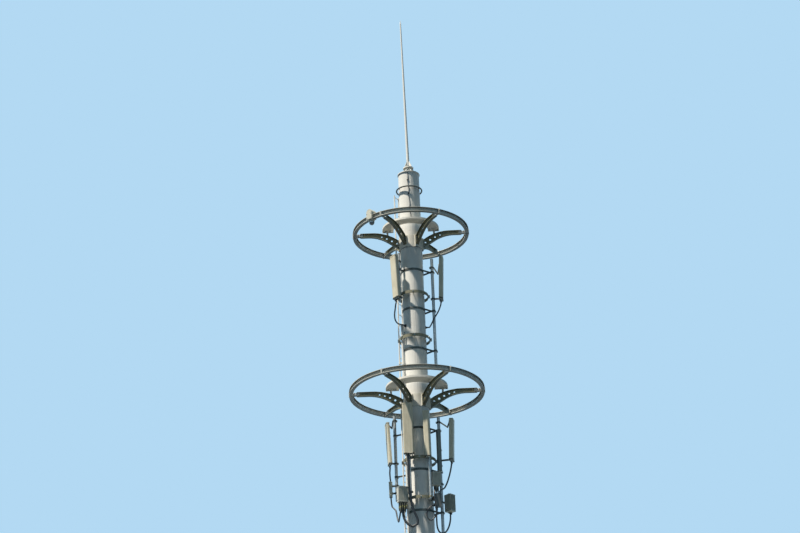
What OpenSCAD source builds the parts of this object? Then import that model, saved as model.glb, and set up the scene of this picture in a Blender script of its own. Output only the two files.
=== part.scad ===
/* [Pole] */
// Height of the pole from the ground to its cap, mm
pole_h = 32100; // [28000:50:36000]
// Outer diameter of the pole at the ground, mm
pole_base_d = 800; // [700:1:900]
// Outer diameter of the pole at its top, mm
pole_top_d = 536; // [480:1:600]
// Wall of the steel tube, mm
pole_wall = 9; // [6:0.5:14]
// Height of the first joint between pole sections, mm
joint_1_z = 8800; // [8300:10:9300]
// Height of the second joint, mm
joint_2_z = 17600; // [17100:10:18100]
// Distance from the middle of the lower ring up to the third joint, mm
joint_3_rise = 270; // [190:10:340]
// Distance from the middle of the upper ring up to the fourth joint, mm
joint_4_rise = 270; // [190:10:340]
// Thickness of each inner flange at a joint, mm
flange_t = 20; // [12:1:30]
// Width of each inner flange, inside the tube, mm
flange_w = 55; // [40:1:80]
// Height of the weld band on each side of a joint, mm
band_h = 24; // [12:1:40]
// How far a weld band stands proud of the tube, mm
band_t = 4; // [2:0.5:8]

/* [Base] */
// Outer diameter of the base plate, mm
base_d = 1240; // [1180:1:1400]
// Thickness of the base plate, mm
base_t = 40; // [30:1:60]
// Circle on which the anchor bolt holes lie, mm
anchor_pcd = 1080; // [1060:1:1110]
// Number of anchor bolt holes
anchor_n = 16; // [12:1:18]
// Diameter of an anchor bolt hole, mm
anchor_hole_d = 46; // [30:1:54]
// Height of the gussets on the base plate, mm
gusset_h = 320; // [200:5:420]
// Thickness of a gusset, mm
gusset_t = 16; // [10:1:24]
// Height of the middle of the hand hole, mm
hand_hole_z = 1250; // [1000:10:1600]
// Width of the hand hole, mm
hand_hole_w = 180; // [140:1:220]
// Height of the hand hole, mm
hand_hole_h = 420; // [300:1:500]

/* [Rings] */
// Distance from the pole's top down to the middle of the upper ring, mm
upper_ring_drop = 1670; // [1600:5:1800]
// Outer radius of the upper ring, mm
upper_ring_r = 1481; // [1400:1:1560]
// Distance between the middles of the two rings, mm
ring_spacing = 4370; // [4340:5:4600]
// Outer radius of the lower ring, mm
lower_ring_r = 1689; // [1620:1:1780]
// Width of the ring's section, mm
ring_w = 90; // [70:1:110]
// Height of the ring's section, mm
ring_h = 115; // [100:1:140]
// Thickness of the ring's flanges, mm
ring_flange_t = 9; // [6:0.5:14]
// Thickness of the ring's web, mm
ring_web_t = 8; // [5:0.5:12]
// How far the joint plates stand proud of the ring's section, mm
joint_plate_proud = 9; // [4:1:16]
// Thickness of one joint plate, mm
joint_plate_t = 10; // [6:1:16]

/* [Arms] */
// Number of arms that carry a ring
arm_n = 6; // [6:1:6]
// Width of an arm's flanges, mm
arm_w = 80; // [60:1:90]
// Thickness of an arm's flanges, mm
arm_flange_t = 9; // [6:0.5:14]
// Thickness of an arm's web, mm
arm_web_t = 10; // [6:0.5:14]
// Height of the arm's straight outer part, mm
arm_h = 110; // [100:1:116]
// Distance from the ring's outer edge to the end of the arm's flanges, mm
arm_gap = 190; // [160:1:230]
// Straight outer length of an upper arm's lower edge, mm
upper_straight_low = 195; // [150:5:260]
// Straight outer length of an upper arm's upper edge, mm
upper_straight_top = 295; // [260:5:340]
// Straight outer length of a lower arm's lower edge, mm
lower_straight_low = 275; // [230:5:330]
// Straight outer length of a lower arm's upper edge, mm
lower_straight_top = 385; // [340:5:440]
// Slope of the lower edge where it meets the hub, degrees
arm_low_slope = 34; // [32:0.5:36]
// Radius of the bend in an upper arm's lower edge, mm
upper_low_bend = 860; // [800:10:940]
// Radius of the bend in an upper arm's upper edge, mm
upper_top_bend = 1100; // [1050:10:1200]
// Radius of the bend in a lower arm's lower edge, mm
lower_low_bend = 1000; // [920:10:1080]
// Radius of the bend in a lower arm's upper edge, mm
lower_top_bend = 1350; // [1280:10:1450]
// Distance from the pole's axis to an upper arm's outermost hole, mm
upper_hole_r = 745; // [700:5:800]
// Distance from the pole's axis to a lower arm's outermost hole, mm
lower_hole_r = 930; // [880:5:990]
// Diameter of the outermost hole in an arm's web, mm
arm_hole_d = 36; // [24:1:40]
// How much each further hole grows towards the pole, mm
arm_hole_step = 6; // [3:0.5:9]
// Spacing of the web holes along the arm, mm
arm_hole_pitch = 128; // [115:1:140]

/* [Hubs] */
// Height of a hub collar, mm
hub_h = 330; // [300:5:360]
// Distance from the middle of the ring down to the top of its hub, mm
hub_drop = 150; // [130:5:160]
// Thickness of the hub collar, mm
hub_t = 12; // [8:1:16]
// Distance from the pole to the face where an arm is bolted on, mm
hub_pad = 34; // [30:1:42]

/* [Platforms] */
// Outer radius of the upper half platform, mm
upper_deck_r = 725; // [680:1:760]
// Outer radius of the lower half platform, mm
lower_deck_r = 775; // [730:1:820]
// Inner radius of both half platforms, mm
deck_in_r = 440; // [420:1:470]
// Height of the platform's plate above the middle of the ring, mm
deck_rise = 98; // [90:1:120]
// Thickness of the platform's plate, mm
deck_t = 6; // [4:0.5:10]
// Height of the rim round the platform, mm
deck_rim_h = 52; // [30:1:80]
// Height of the beams under the platform, mm
deck_beam_h = 45; // [30:1:50]

/* [Top] */
// Diameter of the cap plate, mm
cap_d = 572; // [560:1:620]
// Thickness of the cap plate, mm
cap_t = 20; // [10:1:28]
// Diameter of the stub pipe on the cap, mm
stub_d = 200; // [150:1:220]
// Height of the stub pipe, mm
stub_h = 180; // [120:5:220]
// Diameter of the flanges under the rod, mm
rod_flange_d = 265; // [240:1:300]
// Thickness of each flange under the rod, mm
rod_flange_t = 14; // [10:1:20]
// Diameter of the lightning rod at its foot, mm
rod_d = 76; // [60:1:90]
// Diameter of the lightning rod near its tip, mm
rod_tip_d = 36; // [20:1:44]
// Height of the rod's tip above the pole, mm
rod_rise = 4660; // [3600:10:5200]
// Lean of the rod away from the upright, degrees
rod_lean = 0.8; // [0:0.1:1]
// Radius of the thin hoop near the top, mm
top_hoop_r = 343; // [320:1:380]
// Diameter of the round bar of the thin hoop, mm
top_hoop_bar = 38; // [24:1:44]
// Distance from the pole's top down to the thin hoop, mm
top_hoop_drop = 445; // [250:5:500]

/* [Hoops] */
// Distance from the upper ring down to the uppermost wide hoop, mm
hoop_b_drop = 1775; // [1730:5:1830]
// Distance from the upper ring down to the second wide hoop, mm
hoop_c_drop = 2965; // [2910:5:3030]
// Distance from the lower ring down to the third wide hoop, mm
hoop_d_drop = 1855; // [1800:5:1910]
// Distance from the lower ring down to the lowest wide hoop, mm
hoop_e_drop = 2890; // [2860:5:2910]
// Clear gap between the pole and a wide hoop, mm
hoop_gap = 92; // [88:1:100]
// Thickness of a wide hoop's flat bar, mm
hoop_t = 12; // [8:1:16]
// Height of a wide hoop's flat bar, mm
hoop_h = 80; // [50:1:100]

/* [Pole clamps] */
// Distance from the upper ring down to the uppermost pole clamp, mm
clamp_1_drop = 1105; // [1070:5:1140]
// Distance from the upper ring down to the second clamp, mm
clamp_2_drop = 2180; // [2130:5:2230]
// Distance from the upper ring down to the third clamp, mm
clamp_3_drop = 3275; // [3230:5:3330]
// Distance from the lower ring down to the first lower clamp, mm
clamp_4_drop = 1045; // [1040:5:1060]
// Distance from the lower ring down to the second lower clamp, mm
clamp_5_drop = 2135; // [2100:5:2145]
// Distance from the lower ring down to the lowest clamp, mm
clamp_6_drop = 3195; // [3140:5:3240]
// Thickness of a pole clamp's band, mm
clamp_t = 8; // [5:0.5:11]
// Height of a pole clamp's band, mm
clamp_h = 56; // [40:1:70]

/* [Antennas] */
// Diameter of the pipes that carry the antennas, mm
pipe_d = 76; // [60:1:80]
// Distance of the right pipes from the pole's axis, mm
right_pipe_r = 505; // [490:1:520]
// Distance of the left pipe from the pole's axis, mm
left_pipe_r = 636; // [620:1:650]
// Diameter of the pipes that stand at the wide hoops, mm
hoop_pipe_d = 60; // [48:1:66]
// Width of a wide panel antenna, mm
panel_w = 255; // [220:1:270]
// Depth of a wide panel antenna, mm
panel_d = 98; // [80:1:110]
// Height of an upper panel antenna, mm
upper_panel_h = 1160; // [1120:10:1220]
// Height of the left and the right lower panel antenna, mm
lower_panel_h = 1080; // [1060:10:1130]
// Height of the wide panel antenna in front, mm
front_panel_h = 1310; // [1250:10:1360]
// Height of the narrow panel antenna, mm
narrow_panel_h = 1180; // [1120:10:1220]
// Width of the narrow panel antenna, mm
narrow_panel_w = 150; // [120:1:170]
// Depth of the narrow panel antenna, mm
narrow_panel_d = 82; // [60:1:100]
// Downward tilt of the panel antennas, degrees
panel_tilt = 2.4; // [1:0.1:3]

/* [Radios] */
// Width of a large radio unit, mm
radio_w = 250; // [220:1:280]
// Depth of a large radio unit, mm
radio_d = 150; // [120:1:170]
// Height of a large radio unit, mm
radio_h = 430; // [380:1:480]

/* [Ladder] */
// Distance between the two rails, mm
ladder_w = 200; // [180:1:230]
// Clear gap between the wide hoops and the ladder's rungs, mm
ladder_gap = 3; // [2:1:12]
// Height where the ladder starts, mm
ladder_low_z = 3000; // [2500:50:4000]
// Distance from the pole's top down to the ladder's end, mm
ladder_top_drop = 500; // [400:20:700]
// Length of the lowest ladder piece, mm
ladder_low_len = 9400; // [9000:50:9800]
// Length of the middle ladder piece, mm
ladder_mid_len = 9500; // [9100:50:9900]
// Spacing of the rungs, mm
rung_pitch = 300; // [250:5:350]
// Diameter of a rail, mm
rail_d = 34; // [25:1:40]
// Diameter of a rung, mm
rung_d = 20; // [16:1:24]

/* [Hidden] */
$fn = 48;

// Clearance between pieces that are seated on each other, mm
fit = 0.3;
// How far welded details reach into what carries them, mm
weld = 3;
// Side towards which the ladder, the conduit and the left pipes stand, degrees from +X
ladder_side = 150;
conduit_side = 202;
left_pipe_side = 157;
upper_left_side = 218;
front_left_side = 236;
front_right_side = 303;

// Heights that follow the pole's top and the rings
upper_ring_z = pole_h - upper_ring_drop;
lower_ring_z = upper_ring_z - ring_spacing;
joint_3_z = lower_ring_z + joint_3_rise;
joint_4_z = upper_ring_z + joint_4_rise;
top_hoop_z = pole_h - top_hoop_drop;
hoop_b_z = upper_ring_z - hoop_b_drop;
hoop_c_z = upper_ring_z - hoop_c_drop;
hoop_d_z = lower_ring_z - hoop_d_drop;
hoop_e_z = lower_ring_z - hoop_e_drop;
clamp_1_z = upper_ring_z - clamp_1_drop;
clamp_2_z = upper_ring_z - clamp_2_drop;
clamp_3_z = upper_ring_z - clamp_3_drop;
clamp_4_z = lower_ring_z - clamp_4_drop;
clamp_5_z = lower_ring_z - clamp_5_drop;
clamp_6_z = lower_ring_z - clamp_6_drop;

// Outer radius of the pole at a height
function pole_r(z) = (pole_base_d - (pole_base_d - pole_top_d) * z / pole_h) / 2;
// Slope of the pole's surface
pole_slope = atan((pole_base_d - pole_top_d) / 2 / pole_h);

// Inner and outer radius of a wide hoop at its height
function hoop_in(z) = pole_r(z) + hoop_gap;
function hoop_out(z) = hoop_in(z) + hoop_t;

// A flat plate on edge between two points of a plane
module bar(a, b, w) {
    d = (b - a) / norm(b - a) * w / 2;
    n = [-d[1], d[0]];
    polygon([a + n, a - n, b - n, b + n]);
}

// A ring with a rectangular section, standing on the height z
module band(z, h, r_in, r_out) {
    translate([0, 0, z])
        rotate_extrude($fn = 96)
            translate([r_in, 0])
                square([r_out - r_in, h]);
}

// Pole sections with inner flanges at their joints

module pole_tube(z0, z1) {
    difference() {
        translate([0, 0, z0])
            cylinder(h = z1 - z0, r1 = pole_r(z0), r2 = pole_r(z1), $fn = 96);
        translate([0, 0, z0 - 1])
            cylinder(h = z1 - z0 + 2, r1 = pole_r(z0 - 1) - pole_wall, r2 = pole_r(z1 + 1) - pole_wall, $fn = 96);
    }
}

module inner_flange(z) {
    r = pole_r(z + flange_t / 2) - pole_wall;
    band(z, flange_t, r - flange_w, r + weld);
}

module weld_band(z) {
    r = pole_r(z + band_h / 2);
    band(z, band_h, r - weld, r + band_t);
}

module pole_section(z0, z1, low_flange = true, top_flange = true) {
    color("ivory") {
        pole_tube(z0, z1);
        if (low_flange) {
            inner_flange(z0);
            weld_band(z0);
        }
        if (top_flange) {
            inner_flange(z1 - flange_t);
            weld_band(z1 - band_h);
        }
    }
}

hand_frame_t = 24;
hand_frame_w = 36;
hand_frame_in = 45;

// A block in front of the pole, centred on the hand hole
module hand_block(grow, y0, y1) {
    translate([-hand_hole_w / 2 - grow, y0, hand_hole_z - hand_hole_h / 2 - grow])
        cube([hand_hole_w + 2 * grow, y1 - y0, hand_hole_h + 2 * grow]);
}

module pole_foot() {
    r = pole_r(hand_hole_z);
    color("ivory")
        difference() {
            union() {
                pole_section(base_t, joint_1_z, low_flange = false);
                hand_block(hand_frame_w, -r - hand_frame_t, -r + hand_frame_in);
            }
            hand_block(0, -r - hand_frame_t - 1, -r + hand_frame_in + 60);
        }
}

module hand_hole_cover() {
    r = pole_r(hand_hole_z);
    color("lightgray")
        hand_block(hand_frame_w - 4, -r - hand_frame_t - 6, -r - hand_frame_t);
}

// Base plate with its ring of anchor holes and gussets between them
module base_plate() {
    color("ivory") {
        difference() {
            cylinder(h = base_t, d = base_d, $fn = 96);
            for (i = [0 : anchor_n - 1])
                rotate(i * 360 / anchor_n)
                    translate([anchor_pcd / 2, 0, -1])
                        cylinder(h = base_t + 2, d = anchor_hole_d);
        }
        for (i = [0 : anchor_n - 1])
            rotate((i + 0.5) * 360 / anchor_n)
                gusset(base_t, base_d / 2 - 12, gusset_h, gusset_t);
    }
}

module gusset(z, r_out, h, t) {
    translate([0, t / 2, 0])
        rotate([90, 0, 0])
            linear_extrude(t)
                polygon([
                    [pole_r(z) + fit, z - weld], [r_out, z - weld], [r_out, z + 40],
                    [pole_r(z + h) + 30, z + h], [pole_r(z + h) + fit, z + h]
                ]);
}

// Cap, stub pipe and the flange that the lightning rod stands on
stub_top_z = pole_h + cap_t + stub_h;

module pole_cap() {
    color("ivory") {
        translate([0, 0, pole_h])
            cylinder(h = cap_t, d = cap_d, $fn = 96);
        translate([0, 0, pole_h + cap_t - weld])
            cylinder(h = stub_h + 2 * weld, d = stub_d);
        for (i = [0 : 7])
            rotate(i * 45 + 22.5)
                translate([0, 5, pole_h + cap_t - weld])
                    rotate([90, 0, 0])
                        linear_extrude(10)
                            polygon([
                                [stub_d / 2 - weld, 0], [cap_d / 2 - 30, 0],
                                [stub_d / 2 + 12, stub_h * 0.8], [stub_d / 2 - weld, stub_h * 0.8]
                            ]);
        translate([0, 0, stub_top_z])
            cylinder(h = rod_flange_t, d = rod_flange_d);
    }
}

rod_gusset_h = 190;
rod_point_h = 130;

module lightning_rod() {
    z = stub_top_z + rod_flange_t;
    length = (pole_h + rod_rise - z) / cos(rod_lean);
    color("whitesmoke") {
        translate([0, 0, z])
            cylinder(h = rod_flange_t, d = rod_flange_d);
        translate([0, 0, z])
            rotate([0, -rod_lean, 0]) {
                cylinder(h = length - rod_point_h, d1 = rod_d, d2 = rod_tip_d);
                translate([0, 0, length - rod_point_h])
                    cylinder(h = rod_point_h, d1 = rod_tip_d, d2 = 4);
            }
        for (i = [0 : 3])
            rotate(i * 90 + 45)
                translate([0, 5, z + rod_flange_t - weld])
                    rotate([90, 0, 0])
                        linear_extrude(10)
                            polygon([
                                [10, 0], [rod_flange_d / 2 - 8, 0], [rod_flange_d / 2 - 8, 14],
                                [rod_d / 2 + 4, rod_gusset_h], [10, rod_gusset_h]
                            ]);
    }
}

// Thin hoop of round bar on short studs
module top_hoop() {
    color("gray")
        translate([0, 0, top_hoop_z]) {
            rotate_extrude($fn = 96)
                translate([top_hoop_r - top_hoop_bar / 2, 0])
                    circle(d = top_hoop_bar);
            for (i = [0 : 5])
                rotate(i * 60 + 30)
                    translate([pole_r(top_hoop_z) + fit, 0, 0])
                        rotate([0, 90, 0])
                            cylinder(h = top_hoop_r - top_hoop_bar / 2 - pole_r(top_hoop_z), d = 16);
        }
}

// Rings of bent beam: six segments that are joined at the arms

joint_slot = arm_web_t + 2 * fit;

module ring_section() {
    square([ring_w, ring_flange_t]);
    translate([0, ring_h - ring_flange_t])
        square([ring_w, ring_flange_t]);
    translate([(ring_w - ring_web_t) / 2, 0])
        square([ring_web_t, ring_h]);
}

// A radial plate at the end of a segment, with the lug that grips the arm's web
module joint_plate(ring_r) {
    arm_end = ring_r - arm_gap;
    lug_h = arm_h - 2 * arm_flange_t - 4;
    rotate([90, 0, 0])
        linear_extrude(joint_plate_t) {
            translate([ring_r - ring_w - joint_plate_proud, -ring_h / 2 - joint_plate_proud])
                square([ring_w + 2 * joint_plate_proud, ring_h + 2 * joint_plate_proud]);
            translate([arm_end - 70, arm_mid_z - lug_h / 2])
                square([arm_gap - ring_w + 70, lug_h]);
        }
}

module ring(z, ring_r) {
    color("beige")
        translate([0, 0, z]) {
            difference() {
                rotate_extrude($fn = 144)
                    translate([ring_r - ring_w, -ring_h / 2])
                        ring_section();
                for (i = [0 : arm_n - 1])
                    rotate(i * 360 / arm_n)
                        translate([ring_r - ring_w - 5, -joint_slot / 2, -ring_h / 2 - 1])
                            cube([ring_w + 10, joint_slot, ring_h + 2]);
            }
            for (i = [0 : arm_n - 1])
                rotate(i * 360 / arm_n) {
                    translate([0, -joint_slot / 2, 0])
                        joint_plate(ring_r);
                    translate([0, joint_slot / 2 + joint_plate_t, 0])
                        joint_plate(ring_r);
                }
        }
}

// Tapered curved arms with web holes

// Upper and lower edge of the arm's straight part, above the middle of the ring
arm_top_z = 50;
arm_low_z = arm_top_z - arm_h;
arm_mid_z = arm_top_z - arm_h / 2;

// Height of an edge at a distance from the axis: level, then an arc, then a slope
function edge_z(r, start, base, bend, slope) =
    r >= start ? base :
    start - r <= bend * sin(slope) ? base - bend + sqrt(pow(bend, 2) - pow(start - r, 2)) :
    base - bend * (1 - cos(slope)) - (start - r - bend * sin(slope)) * tan(slope);

// The same edge as points, from the arm's end in to the hub, moved off by a distance
function edge_points(out_r, in_r, start, base, bend, slope, off) =
    let (turn = min(slope, asin((start - in_r) / (bend + off))),
         last_r = start - (bend + off) * sin(turn),
         last_z = base - bend + (bend + off) * cos(turn))
    concat(
        [[out_r, base + off]],
        [for (i = [0 : 10]) [
            start - (bend + off) * sin(turn * i / 10),
            base - bend + (bend + off) * cos(turn * i / 10)
        ]],
        last_r > in_r + 1 ? [[in_r, last_z - (last_r - in_r) * tan(turn)]] : []
    );

function reversed(list) = [for (i = [len(list) - 1 : -1 : 0]) list[i]];

stiffener_back = 110;

module arm(ring_r, hub_r, straight_low, straight_top, low_bend, top_bend, hole_r) {
    end_r = ring_r - arm_gap;
    low_start = end_r - straight_low;
    top_start = end_r - straight_top;
    web_top = edge_points(end_r, hub_r, top_start, arm_top_z, top_bend, 80, -weld);
    web_low = edge_points(end_r, hub_r, low_start, arm_low_z, low_bend, arm_low_slope, weld);
    top_out = edge_points(end_r, hub_r, top_start, arm_top_z, top_bend, 80, 0);
    top_in = edge_points(end_r, hub_r, top_start, arm_top_z, top_bend, 80, -arm_flange_t);
    low_out = edge_points(end_r, hub_r, low_start, arm_low_z, low_bend, arm_low_slope, 0);
    low_in = edge_points(end_r, hub_r, low_start, arm_low_z, low_bend, arm_low_slope, arm_flange_t);
    hole_n = floor((hole_r - hub_r - 45) / arm_hole_pitch) + 1;
    hub_top_z = edge_z(hub_r, top_start, arm_top_z, top_bend, 80);
    hub_low_z = edge_z(hub_r, low_start, arm_low_z, low_bend, arm_low_slope);
    rotate([90, 0, 0]) {
        translate([0, 0, -arm_web_t / 2])
            linear_extrude(arm_web_t)
                difference() {
                    union() {
                        polygon(concat(web_top, reversed(web_low)));
                        translate([end_r - 20, arm_low_z + arm_flange_t])
                            square([arm_gap + 16, arm_h - 2 * arm_flange_t]);
                    }
                    for (i = [0 : hole_n - 1]) {
                        r = hole_r - i * arm_hole_pitch;
                        z = (edge_z(r, top_start, arm_top_z, top_bend, 80)
                             + edge_z(r, low_start, arm_low_z, low_bend, arm_low_slope)) / 2;
                        translate([r, z])
                            circle(d = arm_hole_d + i * arm_hole_step, $fn = 32);
                    }
                }
        translate([0, 0, -arm_w / 2])
            linear_extrude(arm_w) {
                polygon(concat(top_out, reversed(top_in)));
                polygon(concat(low_out, reversed(low_in)));
            }
        translate([end_r - stiffener_back, arm_low_z + 1, -arm_w / 2 + 4])
            cube([8, arm_h - 2, arm_w - 8]);
        translate([hub_r, hub_low_z - 8, -arm_w / 2 - 8])
            cube([12, hub_top_z - hub_low_z + 16, arm_w + 16]);
    }
}

// Distance from the axis to the face on a hub where an arm is bolted on
function hub_face(z_ring) = pole_r(z_ring - hub_drop - hub_h) + hub_pad;

module arms(z, ring_r, straight_low, straight_top, low_bend, top_bend, hole_r) {
    color("beige")
        translate([0, 0, z])
            for (i = [0 : arm_n - 1])
                rotate(i * 360 / arm_n)
                    arm(ring_r, hub_face(z), straight_low, straight_top, low_bend, top_bend, hole_r);
}

module hub(z_ring) {
    z1 = z_ring - hub_drop;
    z0 = z1 - hub_h;
    pad_in = pole_r(z1) + fit + 4;
    color("beige")
        difference() {
            union() {
                translate([0, 0, z0])
                    cylinder(h = hub_h, r1 = pole_r(z0) + fit + hub_t, r2 = pole_r(z1) + fit + hub_t, $fn = 96);
                for (i = [0 : arm_n - 1])
                    rotate(i * 360 / arm_n)
                        translate([pad_in, -arm_w / 2 - 14, z0 + 6])
                            cube([hub_face(z_ring) - pad_in, arm_w + 28, hub_h - 12]);
            }
            translate([0, 0, z0 - 1])
                cylinder(h = hub_h + 2, r1 = pole_r(z0 - 1) + fit, r2 = pole_r(z1 + 1) + fit, $fn = 96);
        }
}

// Half platforms on short posts that stand on the arms

deck_beam_t = 8;
deck_joist_x = 500;
deck_post_w = 50;
deck_post_t = 10;
deck_post_back = 130;

module deck(z_ring, out_r, ring_r, straight_top, top_bend) {
    z = z_ring + deck_rise;
    top_start = ring_r - arm_gap - straight_top;
    post_r = out_r - deck_post_back;
    reach = sqrt(pow(out_r - 6, 2) - pow(deck_joist_x, 2));
    color("gainsboro") {
        translate([0, 0, z])
            rotate(180)
                rotate_extrude(angle = 180, $fn = 96) {
                    translate([deck_in_r, 0])
                        square([out_r - deck_in_r, deck_t]);
                    translate([out_r - deck_t, 0])
                        square([deck_t, deck_rim_h]);
                }
        for (s = [-1, 1]) {
            translate([s > 0 ? deck_in_r : -out_r, -deck_beam_t, z - deck_beam_h])
                cube([out_r - deck_in_r, deck_beam_t, deck_beam_h + 1]);
            translate([s * deck_joist_x - deck_beam_t / 2, -reach, z - deck_beam_h])
                cube([deck_beam_t, reach, deck_beam_h + 1]);
        }
        for (a = [180, 240, 300, 360]) {
            shift = a == 180 ? deck_post_t / 2 + 1 : a == 360 ? -deck_post_t / 2 - 1 : 0;
            rotate(a)
                translate([0, shift + deck_post_t / 2, 0])
                    rotate([90, 0, 0])
                        linear_extrude(deck_post_t)
                            polygon([
                                for (r = [post_r - deck_post_w / 2, post_r + deck_post_w / 2])
                                    [r, z_ring + edge_z(r, top_start, arm_top_z, top_bend, 80) + fit],
                                [post_r + deck_post_w / 2, z + 1],
                                [post_r - deck_post_w / 2, z + 1]
                            ]);
        }
    }
}

// Wide hoops: two bolted halves of flat bar on studs

hoop_stud_d = 20;
hoop_lug = 36;

module hoop(z) {
    r_in = hoop_in(z);
    r_out = hoop_out(z);
    translate([0, 0, z]) {
        difference() {
            band(-hoop_h / 2, hoop_h, r_in, r_out);
            translate([-r_out - 1, -2, -hoop_h / 2 - 1])
                cube([2 * r_out + 2, 4, hoop_h + 2]);
        }
        for (a = [0, 180])
            rotate(a)
                for (s = [-1, 1])
                    translate([r_in + 2, s > 0 ? 2 : -10, -hoop_h / 2])
                        cube([hoop_lug + hoop_t, 8, hoop_h]);
        for (i = [0 : 5])
            rotate(i * 60 + 30)
                translate([pole_r(z) + fit, 0, 0])
                    rotate([0, 90, 0])
                        cylinder(h = hoop_gap + weld, d = hoop_stud_d);
    }
}

// Clamp bands on the pole, with the arms that reach out to the pipes

module clamp_band(z) {
    r = pole_r(z - clamp_h / 2) + fit;
    difference() {
        union() {
            band(z - clamp_h / 2, clamp_h, r, r + clamp_t);
            translate([-22, r + 2, z - clamp_h / 2])
                cube([44, clamp_t + 30, clamp_h]);
        }
        translate([-3, r - 5, z - clamp_h / 2 - 1])
            cube([6, clamp_t + 50, clamp_h + 2]);
    }
}

v_angle = 42;
v_bar_t = 12;
v_bar_h = 44;
pipe_grip_t = 8;
pipe_grip_h = 50;

// Two bars that meet in front of a pipe
module v_arm(z, reach) {
    r = pole_r(z) + clamp_t;
    grip = pipe_d / 2 + fit + pipe_grip_t;
    translate([0, 0, z - v_bar_h / 2])
        linear_extrude(v_bar_h) {
            for (s = [-1, 1])
                bar([r * cos(v_angle) - 2, s * r * sin(v_angle)], [reach - grip - 26, s * 12], v_bar_t);
            translate([reach - grip - 40, -18])
                square([42, 36]);
        }
}

// A grip that closes round a pipe
module pipe_grip(d, h = pipe_grip_h) {
    translate([0, 0, -h / 2])
        difference() {
            union() {
                cylinder(h = h, r = d / 2 + fit + pipe_grip_t);
                translate([0, -18, 0])
                    cube([d / 2 + pipe_grip_t + 22, 36, h]);
            }
            translate([0, 0, -1])
                cylinder(h = h + 2, r = d / 2 + fit);
            translate([0, -2, -1])
                cube([d + 60, 4, h + 2]);
        }
}

// A straight arm from a clamp band out to a pipe
module straight_arm(z, side, reach, d) {
    r = pole_r(z) + clamp_t - 2;
    rotate(side)
        translate([r, -v_bar_t / 2, z - 20])
            cube([reach - d / 2 - fit - pipe_grip_t + 2 - r, v_bar_t, 40]);
}

module grip_at(z, side, reach, d, turn) {
    rotate(side)
        translate([reach, 0, z])
            rotate(turn)
                pipe_grip(d);
}

module upper_clamps() {
    color("dimgray") {
        for (z = [clamp_1_z, clamp_2_z, clamp_3_z]) {
            clamp_band(z);
            v_arm(z, right_pipe_r);
            grip_at(z, 0, right_pipe_r, pipe_d, 60);
        }
        straight_arm(clamp_1_z, upper_left_side, upper_left_r, hoop_pipe_d);
        grip_at(clamp_1_z, upper_left_side, upper_left_r, hoop_pipe_d, 90);
    }
}

module lower_clamps() {
    color("dimgray") {
        for (z = [clamp_4_z, clamp_5_z, clamp_6_z]) {
            clamp_band(z);
            v_arm(z, right_pipe_r);
            grip_at(z, 0, right_pipe_r, pipe_d, 60);
        }
        for (z = [clamp_4_z, clamp_5_z]) {
            straight_arm(z, left_pipe_side, left_pipe_r, pipe_d);
            grip_at(z, left_pipe_side, left_pipe_r, pipe_d, -90);
        }
        for (side = [front_left_side, front_right_side]) {
            straight_arm(clamp_4_z, side, front_pipe_r, hoop_pipe_d);
            grip_at(clamp_4_z, side, front_pipe_r, hoop_pipe_d, side == front_left_side ? 90 : -90);
        }
    }
}

// Hoops with the saddles that hold the pipes standing at them

saddle_gap = 2;
upper_left_r = hoop_out(hoop_b_z) + saddle_gap + hoop_pipe_d / 2;
front_pipe_r = hoop_out(hoop_d_z) + saddle_gap + hoop_pipe_d / 2;

module saddle(z, side, reach) {
    rotate(side) {
        translate([hoop_out(z) - 2, -24, z - 22])
            cube([reach - hoop_pipe_d / 2 - fit - hoop_out(z) - 2, 48, 44]);
        translate([reach, 0, z])
            rotate(70)
                pipe_grip(hoop_pipe_d, 40);
    }
}

module upper_hoops() {
    color("dimgray") {
        hoop(hoop_b_z);
        hoop(hoop_c_z);
        saddle(hoop_b_z, upper_left_side, upper_left_r);
    }
}

module lower_hoops() {
    color("dimgray") {
        hoop(hoop_d_z);
        hoop(hoop_e_z);
        for (z = [hoop_d_z, hoop_e_z]) {
            saddle(z, front_left_side, front_pipe_r);
            saddle(z, front_right_side, front_pipe_r);
        }
    }
}

// Pipes that carry the antennas

pipe_wall = 4;

module pipe(side, reach, z0, z1, d) {
    color("silver")
        rotate(side)
            translate([reach, 0, z0])
                difference() {
                    cylinder(h = z1 - z0, d = d);
                    translate([0, 0, -1])
                        cylinder(h = z1 - z0 + 2 - pipe_wall - 1, d = d - 2 * pipe_wall);
                }
}

module upper_right_pipe() pipe(0, right_pipe_r, clamp_3_z - 435, clamp_1_z + 375, pipe_d);
module upper_left_pipe() pipe(upper_left_side, upper_left_r, hoop_b_z - 235, clamp_1_z + 455, hoop_pipe_d);
module lower_right_pipe() pipe(0, right_pipe_r, clamp_6_z - 915, clamp_4_z + 355, pipe_d);
module lower_left_pipe() pipe(left_pipe_side, left_pipe_r, clamp_5_z - 625, clamp_4_z + 525, pipe_d);
module front_pipes() {
    for (side = [front_left_side, front_right_side])
        pipe(side, front_pipe_r, hoop_e_z - 90, clamp_4_z + 435, hoop_pipe_d);
}

// Panel antennas: rounded in front, with end caps and a row of sockets below

panel_cap_h = 26;
panel_round = 34;
socket_d = 30;
socket_h = 24;
socket_pitch = 51;

module panel_shape(w, d, r) {
    translate([-w / 2, 0])
        square([w, d - r]);
    translate([-w / 2 + r, 0])
        square([w - 2 * r, d]);
    for (s = [-1, 1])
        translate([s * (w / 2 - r), d - r])
            circle(r = r);
}

module panel(w, d, h, sockets) {
    r = min(panel_round, d * 0.42);
    linear_extrude(h)
        panel_shape(w, d, r);
    for (z = [0, h - panel_cap_h])
        translate([0, 0, z])
            linear_extrude(panel_cap_h)
                panel_shape(w + 5, d + 3, r + 2);
    for (i = [0 : sockets - 1])
        translate([(i - (sockets - 1) / 2) * socket_pitch, d / 2, -socket_h])
            cylinder(h = socket_h + weld, d = socket_d);
}

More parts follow.
